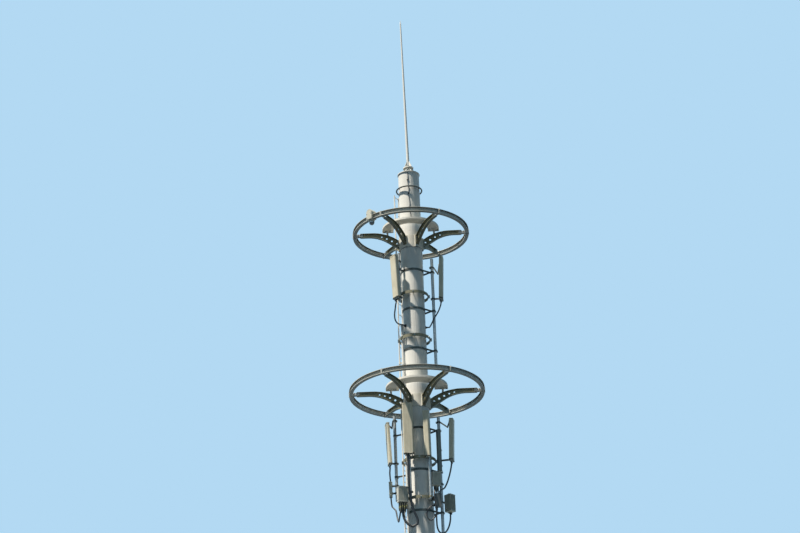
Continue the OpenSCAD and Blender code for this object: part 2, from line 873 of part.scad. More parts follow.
// Stands a panel with its back at a distance from a pipe, facing a side and leaning forward
module panel_at(pipe_at, stand_off, z, side, tilt) {
    p = pipe_at + stand_off * [cos(side), sin(side)];
    translate([p[0], p[1], z])
        rotate([0, 0, side - 90])
            rotate([-tilt, 0, 0])
                children();
}

function polar(r, side) = [r * cos(side), r * sin(side)];

right_pipe = polar(right_pipe_r, 0);
left_pipe = polar(left_pipe_r, left_pipe_side);
upper_left_pipe_at = polar(upper_left_r, upper_left_side);
front_left_pipe = polar(front_pipe_r, front_left_side);
front_right_pipe = polar(front_pipe_r, front_right_side);

// Side each antenna faces, distance of its back from its pipe, height of its lower end
upper_right_face = 355;
upper_right_off = 150;
upper_right_z = clamp_1_z - 770;
upper_left_face = 212;
upper_left_off = 55;
upper_left_z = hoop_b_z - 140;
lower_left_face = 192;
lower_left_off = 113;
lower_left_z = clamp_5_z + 325;
lower_right_z = clamp_5_z + 270;
front_left_face = 266;
front_left_off = 60;
front_left_z = hoop_d_z + 55;
front_right_face = 252;
front_right_off = 60;
front_right_z = hoop_d_z - 25;
lower_right_face = 350;
lower_right_off = 240;
slim_face = 300;
slim_at = [475, -104];
slim_z = clamp_5_z - 20;
slim_w = 110;
slim_d = 70;
slim_h = 1080;

module upper_right_panel() {
    color("whitesmoke")
        panel_at(right_pipe, upper_right_off, upper_right_z, upper_right_face, panel_tilt)
            panel(panel_w, panel_d, upper_panel_h, 4);
}

module upper_left_panel() {
    color("whitesmoke")
        panel_at(upper_left_pipe_at, upper_left_off, upper_left_z, upper_left_face, panel_tilt)
            panel(panel_w, panel_d, upper_panel_h, 4);
}

module lower_left_panel() {
    color("whitesmoke")
        panel_at(left_pipe, lower_left_off, lower_left_z, lower_left_face, panel_tilt)
            panel(panel_w, panel_d * 0.75, lower_panel_h, 4);
}

module front_left_panel() {
    color("whitesmoke")
        panel_at(front_left_pipe, front_left_off, front_left_z, front_left_face, panel_tilt)
            panel(panel_w, panel_d, front_panel_h, 4);
}

module front_right_panel() {
    color("whitesmoke")
        panel_at(front_right_pipe, front_right_off, front_right_z, front_right_face, panel_tilt)
            panel(narrow_panel_w, narrow_panel_d, narrow_panel_h, 2);
}

module slim_panel() {
    color("slategray")
        translate([slim_at[0], slim_at[1], slim_z])
            rotate(slim_face - 90)
                panel(slim_w, slim_d, slim_h, 2);
}

module lower_right_panel() {
    color("whitesmoke")
        panel_at(right_pipe, lower_right_off, lower_right_z, lower_right_face, panel_tilt)
            panel(panel_w, panel_d, lower_panel_h, 4);
}

// A bracket from a pipe to the back of a box: grip, bar and seat plate

bracket_h = 44;
seat_plate_t = 8;

module bracket(pipe_at, d, z, seat_at, side, seat_w = 90, gap = 0.3) {
    grip_r = d / 2 + fit + pipe_grip_t;
    seat_mid = seat_at - (gap + seat_plate_t / 2) * [cos(side), sin(side)];
    away = -(seat_mid - pipe_at) / norm(seat_mid - pipe_at);
    translate([0, 0, z - bracket_h / 2])
        linear_extrude(bracket_h)
            difference() {
                union() {
                    translate(pipe_at)
                        circle(r = grip_r);
                    bar(pipe_at, seat_mid, 16);
                    bar(pipe_at, pipe_at + away * (grip_r + 18), 40);
                    translate(seat_at)
                        rotate(side)
                            translate([-gap - seat_plate_t, -seat_w / 2])
                                square([seat_plate_t, seat_w]);
                }
                translate(pipe_at)
                    circle(r = d / 2 + fit);
                bar(pipe_at, pipe_at + away * (grip_r + 30), 4);
            }
}

tilt_gap = fit + bracket_h / 2 * tan(3.2);

// Point on the back of a tilted panel at a height above its lower end
function back_at(pipe_at, off, side, rise) =
    pipe_at + (off + rise * tan(panel_tilt)) * [cos(side), sin(side)];

module level_bracket(pipe_at, d, off, side, z_low, rise, seat_w = 90) {
    bracket(pipe_at, d, z_low + rise, back_at(pipe_at, off, side, rise), side, seat_w, tilt_gap);
}

tilt_bar_w = 30;
tilt_bar_t = 6;
// How far the lowest brackets sit above an antenna's lower end
bracket_low = 28;

// The two links of a tilt bracket: its knee and its grip lie below the seat plate by a drop each
module tilt_links(pipe_at, d, off, side, z_low, rise, drop, grip_drop, share = 0.8) {
    z = z_low + rise;
    reach = off + rise * tan(panel_tilt) - tilt_gap - seat_plate_t;
    grip_r = d / 2 + fit + pipe_grip_t;
    knee = [max(reach * share, grip_r + 24), -drop];
    translate([pipe_at[0], pipe_at[1], z])
        rotate(side) {
            translate([0, 0, -grip_drop])
                rotate(180)
                    pipe_grip(d, bracket_h);
            translate([reach, -45, -bracket_h / 2])
                cube([seat_plate_t, 90, bracket_h]);
            for (s = [-1, 1])
                translate([0, s * 14 + tilt_bar_t / 2, 0])
                    rotate([90, 0, 0])
                        linear_extrude(tilt_bar_t) {
                            bar([grip_r - 3, -grip_drop], knee, tilt_bar_w);
                            intersection() {
                                bar(knee, [reach + 4, 0], tilt_bar_w);
                                translate([0, -500])
                                    square([reach + 4, 1000]);
                            }
                            translate(knee)
                                circle(d = tilt_bar_w + 4);
                        }
            translate([knee[0], 20, knee[1]])
                rotate([90, 0, 0])
                    cylinder(h = 40, d = 16);
        }
}

module panel_brackets() {
    color("dimgray") {
        level_bracket(right_pipe, pipe_d, upper_right_off, upper_right_face, upper_right_z, bracket_low);
        tilt_links(right_pipe, pipe_d, upper_right_off, upper_right_face, upper_right_z, upper_panel_h - 200, 245, 60);
        level_bracket(upper_left_pipe_at, hoop_pipe_d, upper_left_off, upper_left_face, upper_left_z, bracket_low + 10);
        level_bracket(upper_left_pipe_at, hoop_pipe_d, upper_left_off, upper_left_face, upper_left_z, upper_panel_h - 120);
        level_bracket(left_pipe, pipe_d, lower_left_off, lower_left_face, lower_left_z, bracket_low);
        tilt_links(left_pipe, pipe_d, lower_left_off, lower_left_face, lower_left_z, lower_panel_h - 45, 70, -125, 0.45);
        level_bracket(front_left_pipe, hoop_pipe_d, front_left_off, front_left_face, front_left_z, 150);
        level_bracket(front_left_pipe, hoop_pipe_d, front_left_off, front_left_face, front_left_z, front_panel_h - 260);
        level_bracket(front_right_pipe, hoop_pipe_d, front_right_off, front_right_face, front_right_z, 200, 60);
        level_bracket(front_right_pipe, hoop_pipe_d, front_right_off, front_right_face, front_right_z, narrow_panel_h - 120, 60);
        tilt_links(right_pipe, pipe_d, lower_right_off, lower_right_face, lower_right_z, lower_panel_h - 45, 145, 0);
        level_bracket(right_pipe, pipe_d, lower_right_off, lower_right_face, lower_right_z, bracket_low);
        for (rise = [190, 600])
            bracket(right_pipe, pipe_d, slim_z + rise, slim_at, slim_face, 70);
    }
}

// Radio units: a finned box with a handle on top and sockets below

fin_n = 6;
fin_depth = 14;
radio_socket_d = 28;
radio_socket_h = 22;
radio_socket_pitch = 46;

// Width along X, depth along Y from the back at 0, standing on 0
module radio(w, d, h, sockets, handle = true) {
    difference() {
        translate([-w / 2, 0, 0])
            cube([w, d, h]);
        for (i = [0 : fin_n - 1])
            translate([-w / 2 + w * (i + 1) / (fin_n + 1) - w / 26, d - fin_depth, 24])
                cube([w / 13, fin_depth + 1, h - 48]);
    }
    if (handle) {
        for (x = [-w / 4, w / 4 - 16])
            translate([x, d / 2 - 8, h - weld])
                cube([16, 16, 30 + weld]);
        translate([-w / 4, d / 2 - 8, h + 24])
            cube([w / 2, 16, 14]);
    } else {
        translate([0, d / 2, h - weld])
            cylinder(h = radio_socket_h + weld, d = radio_socket_d);
    }
    for (i = [0 : sockets - 1])
        translate([(i - (sockets - 1) / 2) * radio_socket_pitch, d / 2, -radio_socket_h])
            cylinder(h = radio_socket_h + weld, d = radio_socket_d);
}

// Stands a box with the middle of its footprint on a point
module box_at(at, z, side, d) {
    translate([at[0], at[1], z])
        rotate(side - 90)
            translate([0, -d / 2, 0])
                children();
}

left_radio_at = [-445, -345];
left_radio_z = hoop_e_z - 120;
left_radio_side = 287;
small_radio_off = 110;
small_radio_z = clamp_5_z - 490;
small_radio_d = 80;
small_radio_h = 330;
right_radio_at = [380, -228];
right_radio_z = clamp_5_z - 435;
right_radio_side = 294;
right_radio_w = 200;
right_radio_h = 380;
corner_radio_at = [700, -10];
corner_radio_z = clamp_6_z + 15;
corner_radio_side = 318;
corner_radio_w = 180;
corner_radio_d = 200;
corner_radio_h = 460;
splitter_at = [415, -300];
splitter_z = clamp_6_z + 45;
splitter_w = 170;
splitter_d = 90;
splitter_h = 350;

module left_radio() {
    color("gainsboro")
        box_at(left_radio_at, left_radio_z, left_radio_side, radio_d)
            radio(radio_w, radio_d, radio_h - 40, 3);
}

module small_radio() {
    color("gainsboro")
        translate([left_pipe[0] - small_radio_off, left_pipe[1], small_radio_z])
            rotate(90)
                radio(radio_w, small_radio_d, small_radio_h, 3, handle = false);
}

module right_radio() {
    color("gray")
        box_at(right_radio_at, right_radio_z, right_radio_side, radio_d)
            radio(right_radio_w, radio_d, right_radio_h - 40, 3);
}

module corner_radio() {
    color("darkgray")
        box_at(corner_radio_at, corner_radio_z, corner_radio_side, corner_radio_d)
            radio(corner_radio_w, corner_radio_d, corner_radio_h - 30, 3);
}

module splitter_box() {
    color("dimgray")
        translate([splitter_at[0] - splitter_w / 2, splitter_at[1] - splitter_d / 2, splitter_z])
            difference() {
                cube([splitter_w, splitter_d, splitter_h]);
                translate([12, -1, 12])
                    cube([splitter_w - 24, 5, splitter_h - 24]);
            }
}

// Unit vectors of a box: to the front and to its left seen from the front
function front(side) = [cos(side), sin(side)];
function across(side) = [sin(side), -cos(side)];

module radio_brackets() {
    color("dimgray") {
        bracket(front_left_pipe, hoop_pipe_d, left_radio_z + 250,
                left_radio_at + across(left_radio_side) * -radio_w / 2, left_radio_side - 270 + 180, 80);
        for (rise = [70, small_radio_h - 70])
            bracket(left_pipe, pipe_d, small_radio_z + rise, left_pipe - [small_radio_off, 0], 180);
        bracket(right_pipe, pipe_d, right_radio_z + 120,
                right_radio_at - front(right_radio_side) * radio_d / 2 - across(right_radio_side) * 55,
                right_radio_side, 80);
        bracket(right_pipe, pipe_d, corner_radio_z + 250,
                corner_radio_at - front(corner_radio_side) * corner_radio_d / 2 + across(corner_radio_side) * 55,
                corner_radio_side, 60);
        bracket(front_right_pipe, hoop_pipe_d, splitter_z + 180,
                splitter_at - [splitter_w / 2, 15], 0, 50);
    }
}

// Conduit down the pole with its clips, and the two cable ports

conduit_d = 64;
conduit_off = 46;
conduit_low_z = 2200;
port_z = hoop_c_z + 335;
conduit_top_z = port_z + 50;
conduit_wall = 4;
clip_h = 36;
clip_t = 4;

module pole_solid(z0, z1, grow) {
    translate([0, 0, z0])
        cylinder(h = z1 - z0, r1 = pole_r(z0) + grow, r2 = pole_r(z1) + grow, $fn = 96);
}

module on_slope(side, z, off) {
    rotate(side)
        translate([pole_r(z) + off, 0, z])
            rotate([0, -pole_slope, 0])
                children();
}

module cable_conduit() {
    color("ivory")
        difference() {
            on_slope(conduit_side, conduit_low_z, conduit_off) {
                difference() {
                    cylinder(h = conduit_top_z - conduit_low_z, d = conduit_d);
                    cylinder(h = conduit_top_z - conduit_low_z - conduit_wall, d = conduit_d - 2 * conduit_wall);
                }
                sphere(d = conduit_d);
                rotate([0, -90, 0])
                    cylinder(h = conduit_off + 30, d = conduit_d);
                translate([0, 0, conduit_top_z - conduit_low_z - 50])
                    difference() {
                        cylinder(h = 58, d = conduit_d + 8);
                        translate([0, 0, -1])
                            cylinder(h = 50, d = conduit_d - 2 * conduit_wall);
                    }
            }
            pole_solid(conduit_low_z - 200, conduit_low_z + 200, fit);
        }
}

// Heights of the clips: even spacing between the joints, then between the clamps
function spaced(a, b, step) =
    let (n = round((b - a) / step)) [for (i = [0 : n - 1]) a + (i + 0.5) * (b - a) / n];
clip_pitch = 1500;
clip_start = 200;
clip_below_clamp = 375;
clip_above_hoop = 395;
clip_above_clamp = 335;
clip_below_port = 180;
clip_z = concat(
    spaced(conduit_low_z + clip_start, joint_1_z, clip_pitch), spaced(joint_1_z, joint_2_z, clip_pitch),
    spaced(joint_2_z, clamp_6_z - clip_start, clip_pitch),
    [clamp_5_z - clip_below_clamp, hoop_d_z + clip_above_hoop, clamp_4_z + clip_above_clamp,
     clamp_3_z - clip_below_clamp, port_z - clip_below_port]
);

module conduit_clips() {
    clip_r = conduit_d / 2 + fit + clip_t;
    color("silver")
        for (z = clip_z) {
            rotate(conduit_side - 11)
                translate([0, 0, z - clip_h / 2])
                    rotate_extrude(angle = 22, $fn = 96)
                        translate([pole_r(z - clip_h / 2) + fit, 0])
                            square([6, clip_h]);
            on_slope(conduit_side, z, conduit_off)
                translate([0, 0, -clip_h / 2])
                    linear_extrude(clip_h)
                        difference() {
                            union() {
                                circle(r = clip_r);
                                translate([3 - conduit_off, -clip_r])
                                    square([conduit_off - 3, 2 * clip_r]);
                            }
                            circle(r = conduit_d / 2 + fit);
                        }
        }
}

left_port_side = 220;
right_port_side = 357;
port_d = 46;
port_out = 40;

module cable_ports() {
    color("black")
        difference() {
            for (side = [left_port_side, right_port_side])
                rotate(side)
                    translate([pole_r(port_z) - 30, 0, port_z])
                        rotate([0, 90, 0]) {
                            cylinder(h = port_out + 30, d = port_d);
                            cylinder(h = 40, d = port_d + 34);
                        }
            pole_solid(port_z - 100, port_z + 100, fit);
        }
}

// Cables between the antennas, the radios and the ports

cable_sides = 10;

function unit(v) = v / norm(v);

function bend_point(p, i, t) =
    let (a = p[max(i - 1, 0)], b = p[i], c = p[i + 1], d = p[min(i + 2, len(p) - 1)])
    0.5 * (2 * b + (c - a) * t + (2 * a - 5 * b + 4 * c - d) * t * t + (3 * b - a - 3 * c + d) * t * t * t);

function smooth(p, step) = concat(
    [for (i = [0 : len(p) - 2])
        let (n = max(1, round(norm(p[i + 1] - p[i]) / step)))
        for (j = [0 : n - 1]) bend_point(p, i, j / n)],
    [p[len(p) - 1]]
);

function carry(t, i, n) =
    i == len(t) ? [] :
    let (v = unit(n - t[i] * (n * t[i])))
    concat([v], carry(t, i + 1, v));

// A cable along a route that starts and ends straight, in the given directions
module cable(start, start_dir, middle, end, end_dir, d) {
    lead = 55;
    p = smooth(concat([start, start + lead * start_dir], middle, [end - lead * end_dir, end]), 2.6 * d);
    m = len(p);
    n = cable_sides;
    t = [
        for (i = [0 : m - 1])
            i == 0 ? start_dir : i == m - 1 ? end_dir : unit(p[i + 1] - p[i - 1])
    ];
    u = carry(t, 0, [0.36, 0.8, 0.48]);
    polyhedron(
        points = [
            for (i = [0 : m - 1])
                for (k = [0 : n - 1])
                    p[i] + d / 2 * (cos(k * 360 / n) * u[i] + sin(k * 360 / n) * cross(t[i], u[i]))
        ],
        faces = concat(
            [[for (k = [0 : n - 1]) k]],
            [for (i = [0 : m - 2])
                for (k = [0 : n - 1])
                    let (k1 = (k + 1) % n)
                    for (f = [
                        [i * n + k, (i + 1) * n + k, (i + 1) * n + k1],
                        [i * n + k, (i + 1) * n + k1, i * n + k1]
                    ]) f],
            [[for (k = [n - 1 : -1 : 0]) (m - 1) * n + k]]
        )
    );
}

// A vector of a panel's own frame, turned to where the panel stands
function turned(v, side, tilt) =
    let (y = v[1] * cos(tilt) + v[2] * sin(tilt), z = v[2] * cos(tilt) - v[1] * sin(tilt), a = side - 90)
    [v[0] * cos(a) - y * sin(a), v[0] * sin(a) + y * cos(a), z];

// Just below a socket of a panel: x is its distance from the middle one
function panel_socket(pipe_at, off, z, side, d, x) =
    let (p = pipe_at + off * front(side))
    [p[0], p[1], z] + turned([x, d / 2, -socket_h - fit], side, panel_tilt);
function panel_down(side) = turned([0, 0, -1], side, panel_tilt);

// Just below a socket of a radio unit
function radio_socket(at, z, side, x) =
    [at[0] + x * sin(side), at[1] - x * cos(side), z - radio_socket_h - fit];

function port_end(side) = concat(polar(pole_r(port_z) + port_out + fit, side), [port_z]);
function port_in(side) = [-cos(side), -sin(side), 0];

up = [0, 0, 1];

// A cable's points, with their heights counted from the ring above
function raised(z, points) = [for (p = points) p + [0, 0, z]];

module upper_cables() {
    color("black") {
        cable(panel_socket(upper_left_pipe_at, upper_left_off, upper_left_z, upper_left_face, panel_d, socket_pitch / 2),
              panel_down(upper_left_face),
              raised(upper_ring_z, [[-448, -318, -2100], [-464, -328, -2220], [-486, -320, -2380], [-470, -310, -2530], [-400, -292, -2618]]),
              port_end(left_port_side), port_in(left_port_side), 24);
        cable(panel_socket(right_pipe, upper_right_off, upper_right_z, upper_right_face, panel_d, socket_pitch / 2),
              panel_down(upper_right_face),
              raised(upper_ring_z, [[688, -50, -2030], [640, -60, -2170], [575, -68, -2300], [500, -72, -2420], [440, -50, -2540]]),
              port_end(right_port_side), port_in(right_port_side), 24);
    }
}

module lower_cables() {
    color("black") {
        cable(panel_socket(front_left_pipe, front_left_off, front_left_z, front_left_face, panel_d, socket_pitch / 2),
              panel_down(front_left_face),
              raised(lower_ring_z, [[-272, -462, -2060], [-279, -452, -2360], [-273, -450, -2730], [-245, -450, -2990],
               [-212, -445, -3195], [-150, -440, -3355], [-96, -440, -3500], [-108, -430, -3605],
               [-220, -420, -3660], [-340, -400, -3585], [-425, -375, -3440], [-452, -352, -3260]]),
              radio_socket(left_radio_at, left_radio_z, left_radio_side, 0), up, 34);
        cable(panel_socket(right_pipe, lower_right_off, lower_right_z, lower_right_face, panel_d, socket_pitch / 2),
              panel_down(lower_right_face),
              raised(lower_ring_z, [[765, -80, -2060], [722, -84, -2240], [655, -100, -2450], [580, -150, -2610], [505, -240, -2680]]),
              [462, splitter_at[1], splitter_z + splitter_h + fit], -up, 28);
        cable(radio_socket(right_radio_at, right_radio_z, right_radio_side, radio_socket_pitch), -up,
              raised(lower_ring_z, [[330, -365, -2760], [328, -390, -2860], [338, -394, -3000], [360, -390, -3260], [358, -365, -3510],
               [372, -320, -3690], [440, -240, -3790], [560, -160, -3750], [650, -75, -3580], [695, -20, -3380]]),
              radio_socket(corner_radio_at, corner_radio_z, corner_radio_side, 0), up, 28);
        cable([splitter_at[0] - splitter_w / 2 - fit, splitter_at[1], splitter_z + 50], [-1, 0, 0],
              raised(lower_ring_z, [[210, -305, -3140], [150, -315, -3230], [125, -325, -3370], [190, -325, -3480],
               [285, -322, -3450], [352, -308, -3330]]),
              [385, splitter_at[1], splitter_z - fit], up, 22);
        cable(panel_socket(left_pipe, lower_left_off, lower_left_z, lower_left_face, panel_d * 0.75, socket_pitch / 2),
              panel_down(lower_left_face),
              raised(lower_ring_z, [[-746, 250, -2010], [-742, 252, -2120]]),
              [left_pipe[0] - small_radio_off - small_radio_d / 2, left_pipe[1],
               small_radio_z + small_radio_h + radio_socket_h + fit], -up, 26);
        cable([left_pipe[0] - small_radio_off - small_radio_d / 2, left_pipe[1] - radio_socket_pitch,
               small_radio_z - radio_socket_h - fit], -up,
              raised(lower_ring_z, [[-712, 165, -2930], [-630, 90, -3050], [-592, 0, -3290], [-566, -110, -3420],
               [-548, -230, -3400], [-512, -330, -3250]]),
              radio_socket(left_radio_at, left_radio_z, left_radio_side, radio_socket_pitch), up, 26);
    }
}

// Ladder in three lengths with the brackets that hold it off the pole

ladder_top_z = pole_h - ladder_top_drop;
ladder_joint_1_z = ladder_low_z + ladder_low_len;
ladder_joint_2_z = ladder_joint_1_z + ladder_mid_len;
rung_start = 60;
// Distance from the pole's surface to the ladder's middle plane
ladder_off = hoop_gap + hoop_t + ladder_gap + rung_d / 2;

function rung_z(k) = ladder_low_z + rung_start + k * rung_pitch;

module ladder(z0, z1) {
    k0 = ceil((z0 + 40 - ladder_low_z - rung_start) / rung_pitch);
    k1 = floor((z1 - 40 - ladder_low_z - rung_start) / rung_pitch);
    color("silver")
        on_slope(ladder_side, z0, ladder_off) {
            for (s = [-1, 1])
                translate([0, s * ladder_w / 2, 1])
                    cylinder(h = z1 - z0 - 2, d = rail_d);
            for (k = [k0 : k1])
                if (min([for (c = [clamp_4_z, clamp_5_z]) abs(rung_z(k) - c)]) > 40)
                    translate([0, -ladder_w / 2, rung_z(k) - z0])
                        rotate([-90, 0, 0])
                            cylinder(h = ladder_w, d = rung_d);
        }
}

module ladder_low() ladder(ladder_low_z, ladder_joint_1_z);
module ladder_mid() ladder(ladder_joint_1_z, ladder_joint_2_z);
module ladder_high() ladder(ladder_joint_2_z, ladder_top_z);

// Middle of the gap between two rungs next to a height
function between_rungs(z) = rung_z(floor((z - ladder_low_z - rung_start) / rung_pitch) + 0.5);

hold_start = 400;
hold_pitch = 2100;
hold_by_clamp = 330;
hold_by_ring = 700;
ladder_hold_z = concat(
    spaced(ladder_low_z, ladder_joint_1_z - hold_start, hold_pitch),
    spaced(ladder_joint_1_z, ladder_joint_2_z - hold_start, hold_pitch),
    [ladder_joint_1_z - hold_start, ladder_joint_2_z - hold_start, clamp_5_z - hold_by_clamp, clamp_4_z + hold_by_clamp,
     lower_ring_z + hold_by_ring, clamp_1_z - hold_by_clamp, ladder_top_z - hold_start]
);

module ladder_brackets() {
    color("silver") {
        for (near = ladder_hold_z) {
            z = between_rungs(near);
            rotate(ladder_side)
                rotate(-34)
                    translate([0, 0, z - 25])
                        rotate_extrude(angle = 68, $fn = 96)
                            translate([pole_r(z - 25) + fit, 0])
                                square([7, 50]);
            difference() {
                on_slope(ladder_side, z, ladder_off)
                    for (s = [-1, 1])
                        translate([0, s * ladder_w / 2, -25])
                            linear_extrude(50)
                                difference() {
                                    union() {
                                        circle(d = rail_d + 14);
                                        translate([-ladder_off - 60, s > 0 ? -18 : 10])
                                            square([ladder_off + 60, 8]);
                                    }
                                    circle(d = rail_d + 2 * fit);
                                }
                pole_solid(z - 100, z + 100, fit + 3);
            }
        }
        for (z = [ladder_joint_1_z, ladder_joint_2_z])
            on_slope(ladder_side, z, ladder_off)
                for (s = [-1, 1])
                    translate([0, s * ladder_w / 2, -26])
                        difference() {
                            cylinder(h = 52, d = rail_d + 12);
                            translate([0, 0, -1])
                                cylinder(h = 54, d = rail_d + 2 * fit);
                        }
    }
}

// Camera unit that straddles the upper ring

camera_side = 227.5;
camera_w = 180;
camera_wall = 14;
camera_h = 140;
camera_dome_d = 130;
camera_neck_h = 88;

module ring_camera() {
    r_in = upper_ring_r - ring_w;
    z_top = upper_ring_z + ring_h / 2 + fit;
    z_low = upper_ring_z - ring_h / 2 - fit;
    z_base = z_low - camera_wall;
    half = [
        [camera_w / 2, z_base], [camera_w / 2, z_top + camera_h * 0.43], [camera_w * 0.44, z_top + camera_h * 0.66],
        [camera_w * 0.32, z_top + camera_h * 0.86], [camera_w / 6, z_top + camera_h]
    ];
    color("whitesmoke") {
        difference() {
            rotate(camera_side)
                translate([r_in - 2 * camera_wall, 0, 0])
                    rotate([90, 0, 90])
                        linear_extrude(ring_w + 6 * camera_wall)
                            polygon(concat(half, [for (k = [4 : -1 : 0]) [-half[k][0], half[k][1]]]));
            translate([0, 0, z_low])
                rotate_extrude($fn = 144)
                    translate([r_in - fit, 0])
                        square([ring_w + 2 * fit, z_top - z_low]);
        }
        rotate(camera_side)
            translate([r_in + ring_w / 2, 0, z_base]) {
                translate([0, 0, -34])
                    cylinder(h = 36, d = camera_dome_d + 14);
                translate([0, 0, -camera_neck_h + camera_wall]) {
                    cylinder(h = camera_neck_h - camera_wall, d = camera_dome_d);
                    sphere(d = camera_dome_d);
                }
            }
    }
}

module pole_lower() pole_section(joint_1_z, joint_2_z);
module pole_middle() pole_section(joint_2_z, joint_3_z);
module pole_upper() pole_section(joint_3_z, joint_4_z);
module pole_top() pole_section(joint_4_z, pole_h, top_flange = false);

module upper_ring() ring(upper_ring_z, upper_ring_r);
module lower_ring() ring(lower_ring_z, lower_ring_r);
module upper_arms() {
    arms(upper_ring_z, upper_ring_r, upper_straight_low, upper_straight_top,
         upper_low_bend, upper_top_bend, upper_hole_r);
}
module lower_arms() {
    arms(lower_ring_z, lower_ring_r, lower_straight_low, lower_straight_top,
         lower_low_bend, lower_top_bend, lower_hole_r);
}
module upper_hub() hub(upper_ring_z);
module lower_hub() hub(lower_ring_z);
module upper_deck() deck(upper_ring_z, upper_deck_r, upper_ring_r, upper_straight_top, upper_top_bend);
module lower_deck() deck(lower_ring_z, lower_deck_r, lower_ring_r, lower_straight_top, lower_top_bend);

base_plate();
pole_foot();
pole_lower();
pole_middle();
pole_upper();
pole_top();
hand_hole_cover();
pole_cap();
lightning_rod();
top_hoop();
upper_ring();
upper_arms();
upper_hub();
upper_deck();
lower_ring();
lower_arms();
lower_hub();
lower_deck();
upper_hoops();
lower_hoops();
upper_clamps();
lower_clamps();
upper_right_pipe();
upper_left_pipe();
lower_right_pipe();
lower_left_pipe();
front_pipes();
upper_right_panel();
upper_left_panel();
lower_left_panel();
front_left_panel();
front_right_panel();
slim_panel();
lower_right_panel();
panel_brackets();
left_radio();
small_radio();
right_radio();
corner_radio();
splitter_box();
radio_brackets();
cable_conduit();
conduit_clips();
cable_ports();
upper_cables();
lower_cables();
ladder_low();
ladder_mid();
ladder_high();
ladder_brackets();
ring_camera();
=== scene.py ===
"""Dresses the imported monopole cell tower: finishes on its solids, and the fittings that they leave out."""

import math

import bmesh
import bpy
from mathutils import Matrix, Vector


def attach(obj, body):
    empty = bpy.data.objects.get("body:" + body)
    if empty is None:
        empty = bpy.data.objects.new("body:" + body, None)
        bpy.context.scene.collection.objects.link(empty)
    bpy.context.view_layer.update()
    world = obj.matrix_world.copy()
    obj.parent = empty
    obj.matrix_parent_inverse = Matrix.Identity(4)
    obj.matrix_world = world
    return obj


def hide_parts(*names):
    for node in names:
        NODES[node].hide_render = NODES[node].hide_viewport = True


bl_info = {
    "name": "Monopole Cell Tower",
    "version": (1, 0, 0),
    "blender": (4, 5, 0),
    "location": "View3D > Sidebar > Tower",
    "description": "Finishes and fittings of a tapered monopole with ring platforms and antennas",
    "category": "Object",
}

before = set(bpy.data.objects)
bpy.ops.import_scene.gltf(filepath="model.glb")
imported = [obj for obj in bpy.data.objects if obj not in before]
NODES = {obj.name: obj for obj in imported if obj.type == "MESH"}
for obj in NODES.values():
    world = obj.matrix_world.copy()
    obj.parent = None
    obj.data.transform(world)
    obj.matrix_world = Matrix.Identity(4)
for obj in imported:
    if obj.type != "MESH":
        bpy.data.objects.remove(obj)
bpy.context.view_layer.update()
FINISHES = {}

# Places that repeat the CAD's, in metres and degrees

ENDS = (-1, 1)
POLE_H, POLE_FOOT_R, POLE_TOP_R = 32.1, 0.4, 0.268
POLE_SLOPE = math.degrees(math.atan((POLE_FOOT_R - POLE_TOP_R) / POLE_H))
JOINTS = (8.8, 17.6, 26.33, 30.7)
BASE_T, ANCHORS, ANCHOR_R, GUSSET_R, GUSSET_T = 0.04, 16, 0.54, 0.600, 0.018
HATCH_Z, HATCH_W, HATCH_H, HATCH_FACE = 1.25, 0.244, 0.484, 0.030
ROD_BOLT_R, ROD_BOLT_TOP, ROD_BOLT_LOW = 0.108, 32.328, 32.300
ARM_SIDES = [i * 360 / 6 for i in range(6)]
# Height and outer radius of a ring, face of the arms' root plates, heights of their bolts below the ring
RINGS = ((30.43, 1.481, 0.3228, (-0.345, -0.290, -0.235)), (26.06, 1.689, 0.3408, (-0.385, -0.320, -0.255)))
ROOT_BOLT_OFF = 0.030
# Bolts of a ring's joint, then of an arm's lugs: place inside the ring's edge, heights, face they stand on
JOINT_BOLTS = (
    (-0.072, (-0.027, 0.027), 0.0153), (-0.018, (-0.027, 0.027), 0.0153),
    (-0.236, (-0.029, 0.019), 0.0153), (-0.183, (-0.029, 0.019), 0.0194), (-0.130, (-0.029, 0.019), 0.0194),
)
LUG_IN, LUG_DROP, LUG_FACE, LUG_HIGHLIGHT_PLATE = 0.1465, 0.005, 0.0150, (0.093, 0.082, 0.0045)
DECKS = ((30.43, 0.725), (26.06, 0.775))
DECK_IN_R, DECK_TOP, DECK_NUT_IN, DECK_NUTS = 0.44, 0.104, 0.13, (183.5, 240, 300, 356.5)
HOOPS = (28.655, 27.465, 24.205, 23.17)
HOOP_GAP, HOOP_T, HOOP_STUDS, HOOP_SEAT = 0.092, 0.012, (30, 90, 150, 210, 270, 330), 0.0003
CLAMPS = (29.325, 28.25, 27.155, 25.015, 23.925, 22.865)
PIPE_D, THIN_PIPE_D, GRIP_T = 0.076, 0.060, 0.0083
PANEL_TILT = 2.4
SOCKET_PITCH, SOCKET_H = 0.051, 0.024
RADIO_SOCKET_PITCH, RADIO_SOCKET_H = 0.046, 0.022
# Sealing sleeves below the left radio unit: row, column, share of the usual length
SLEEVE_PITCH, SLEEVE_ROW = 0.050, 0.052
SLEEVES = (
    (-1, -1.5, 1.25), (-1, -0.5, 1.60), (-1, 0.5, 1.35), (-1, 1.5, 1.15),
    (1, -1.5, 1.00), (1, -0.5, 1.30), (1, 0.5, 1.10), (1, 1.5, 1.40),
)
CONDUIT_SIDE, CONDUIT_OFF, CONDUIT_R = 202, 0.046, 0.032
COUPLINGS = (4.0, 7.2, 10.27, 13.2, 16.13, 19.29, 22.7)
CLIPS = (3.2, 4.8, 6.4, 8.0, 9.533, 11.0, 12.467, 13.933, 15.4, 16.867, 18.444, 20.133, 21.821,
         23.55, 24.6, 25.35, 26.78, 27.62)
LADDER_SIDE, LADDER_OFF, LADDER_W, LADDER_LOW, RUNG_PITCH = 150, 0.117, 0.2, 3.06, 0.3
LADDER_JOINTS = (12.4, 21.9)
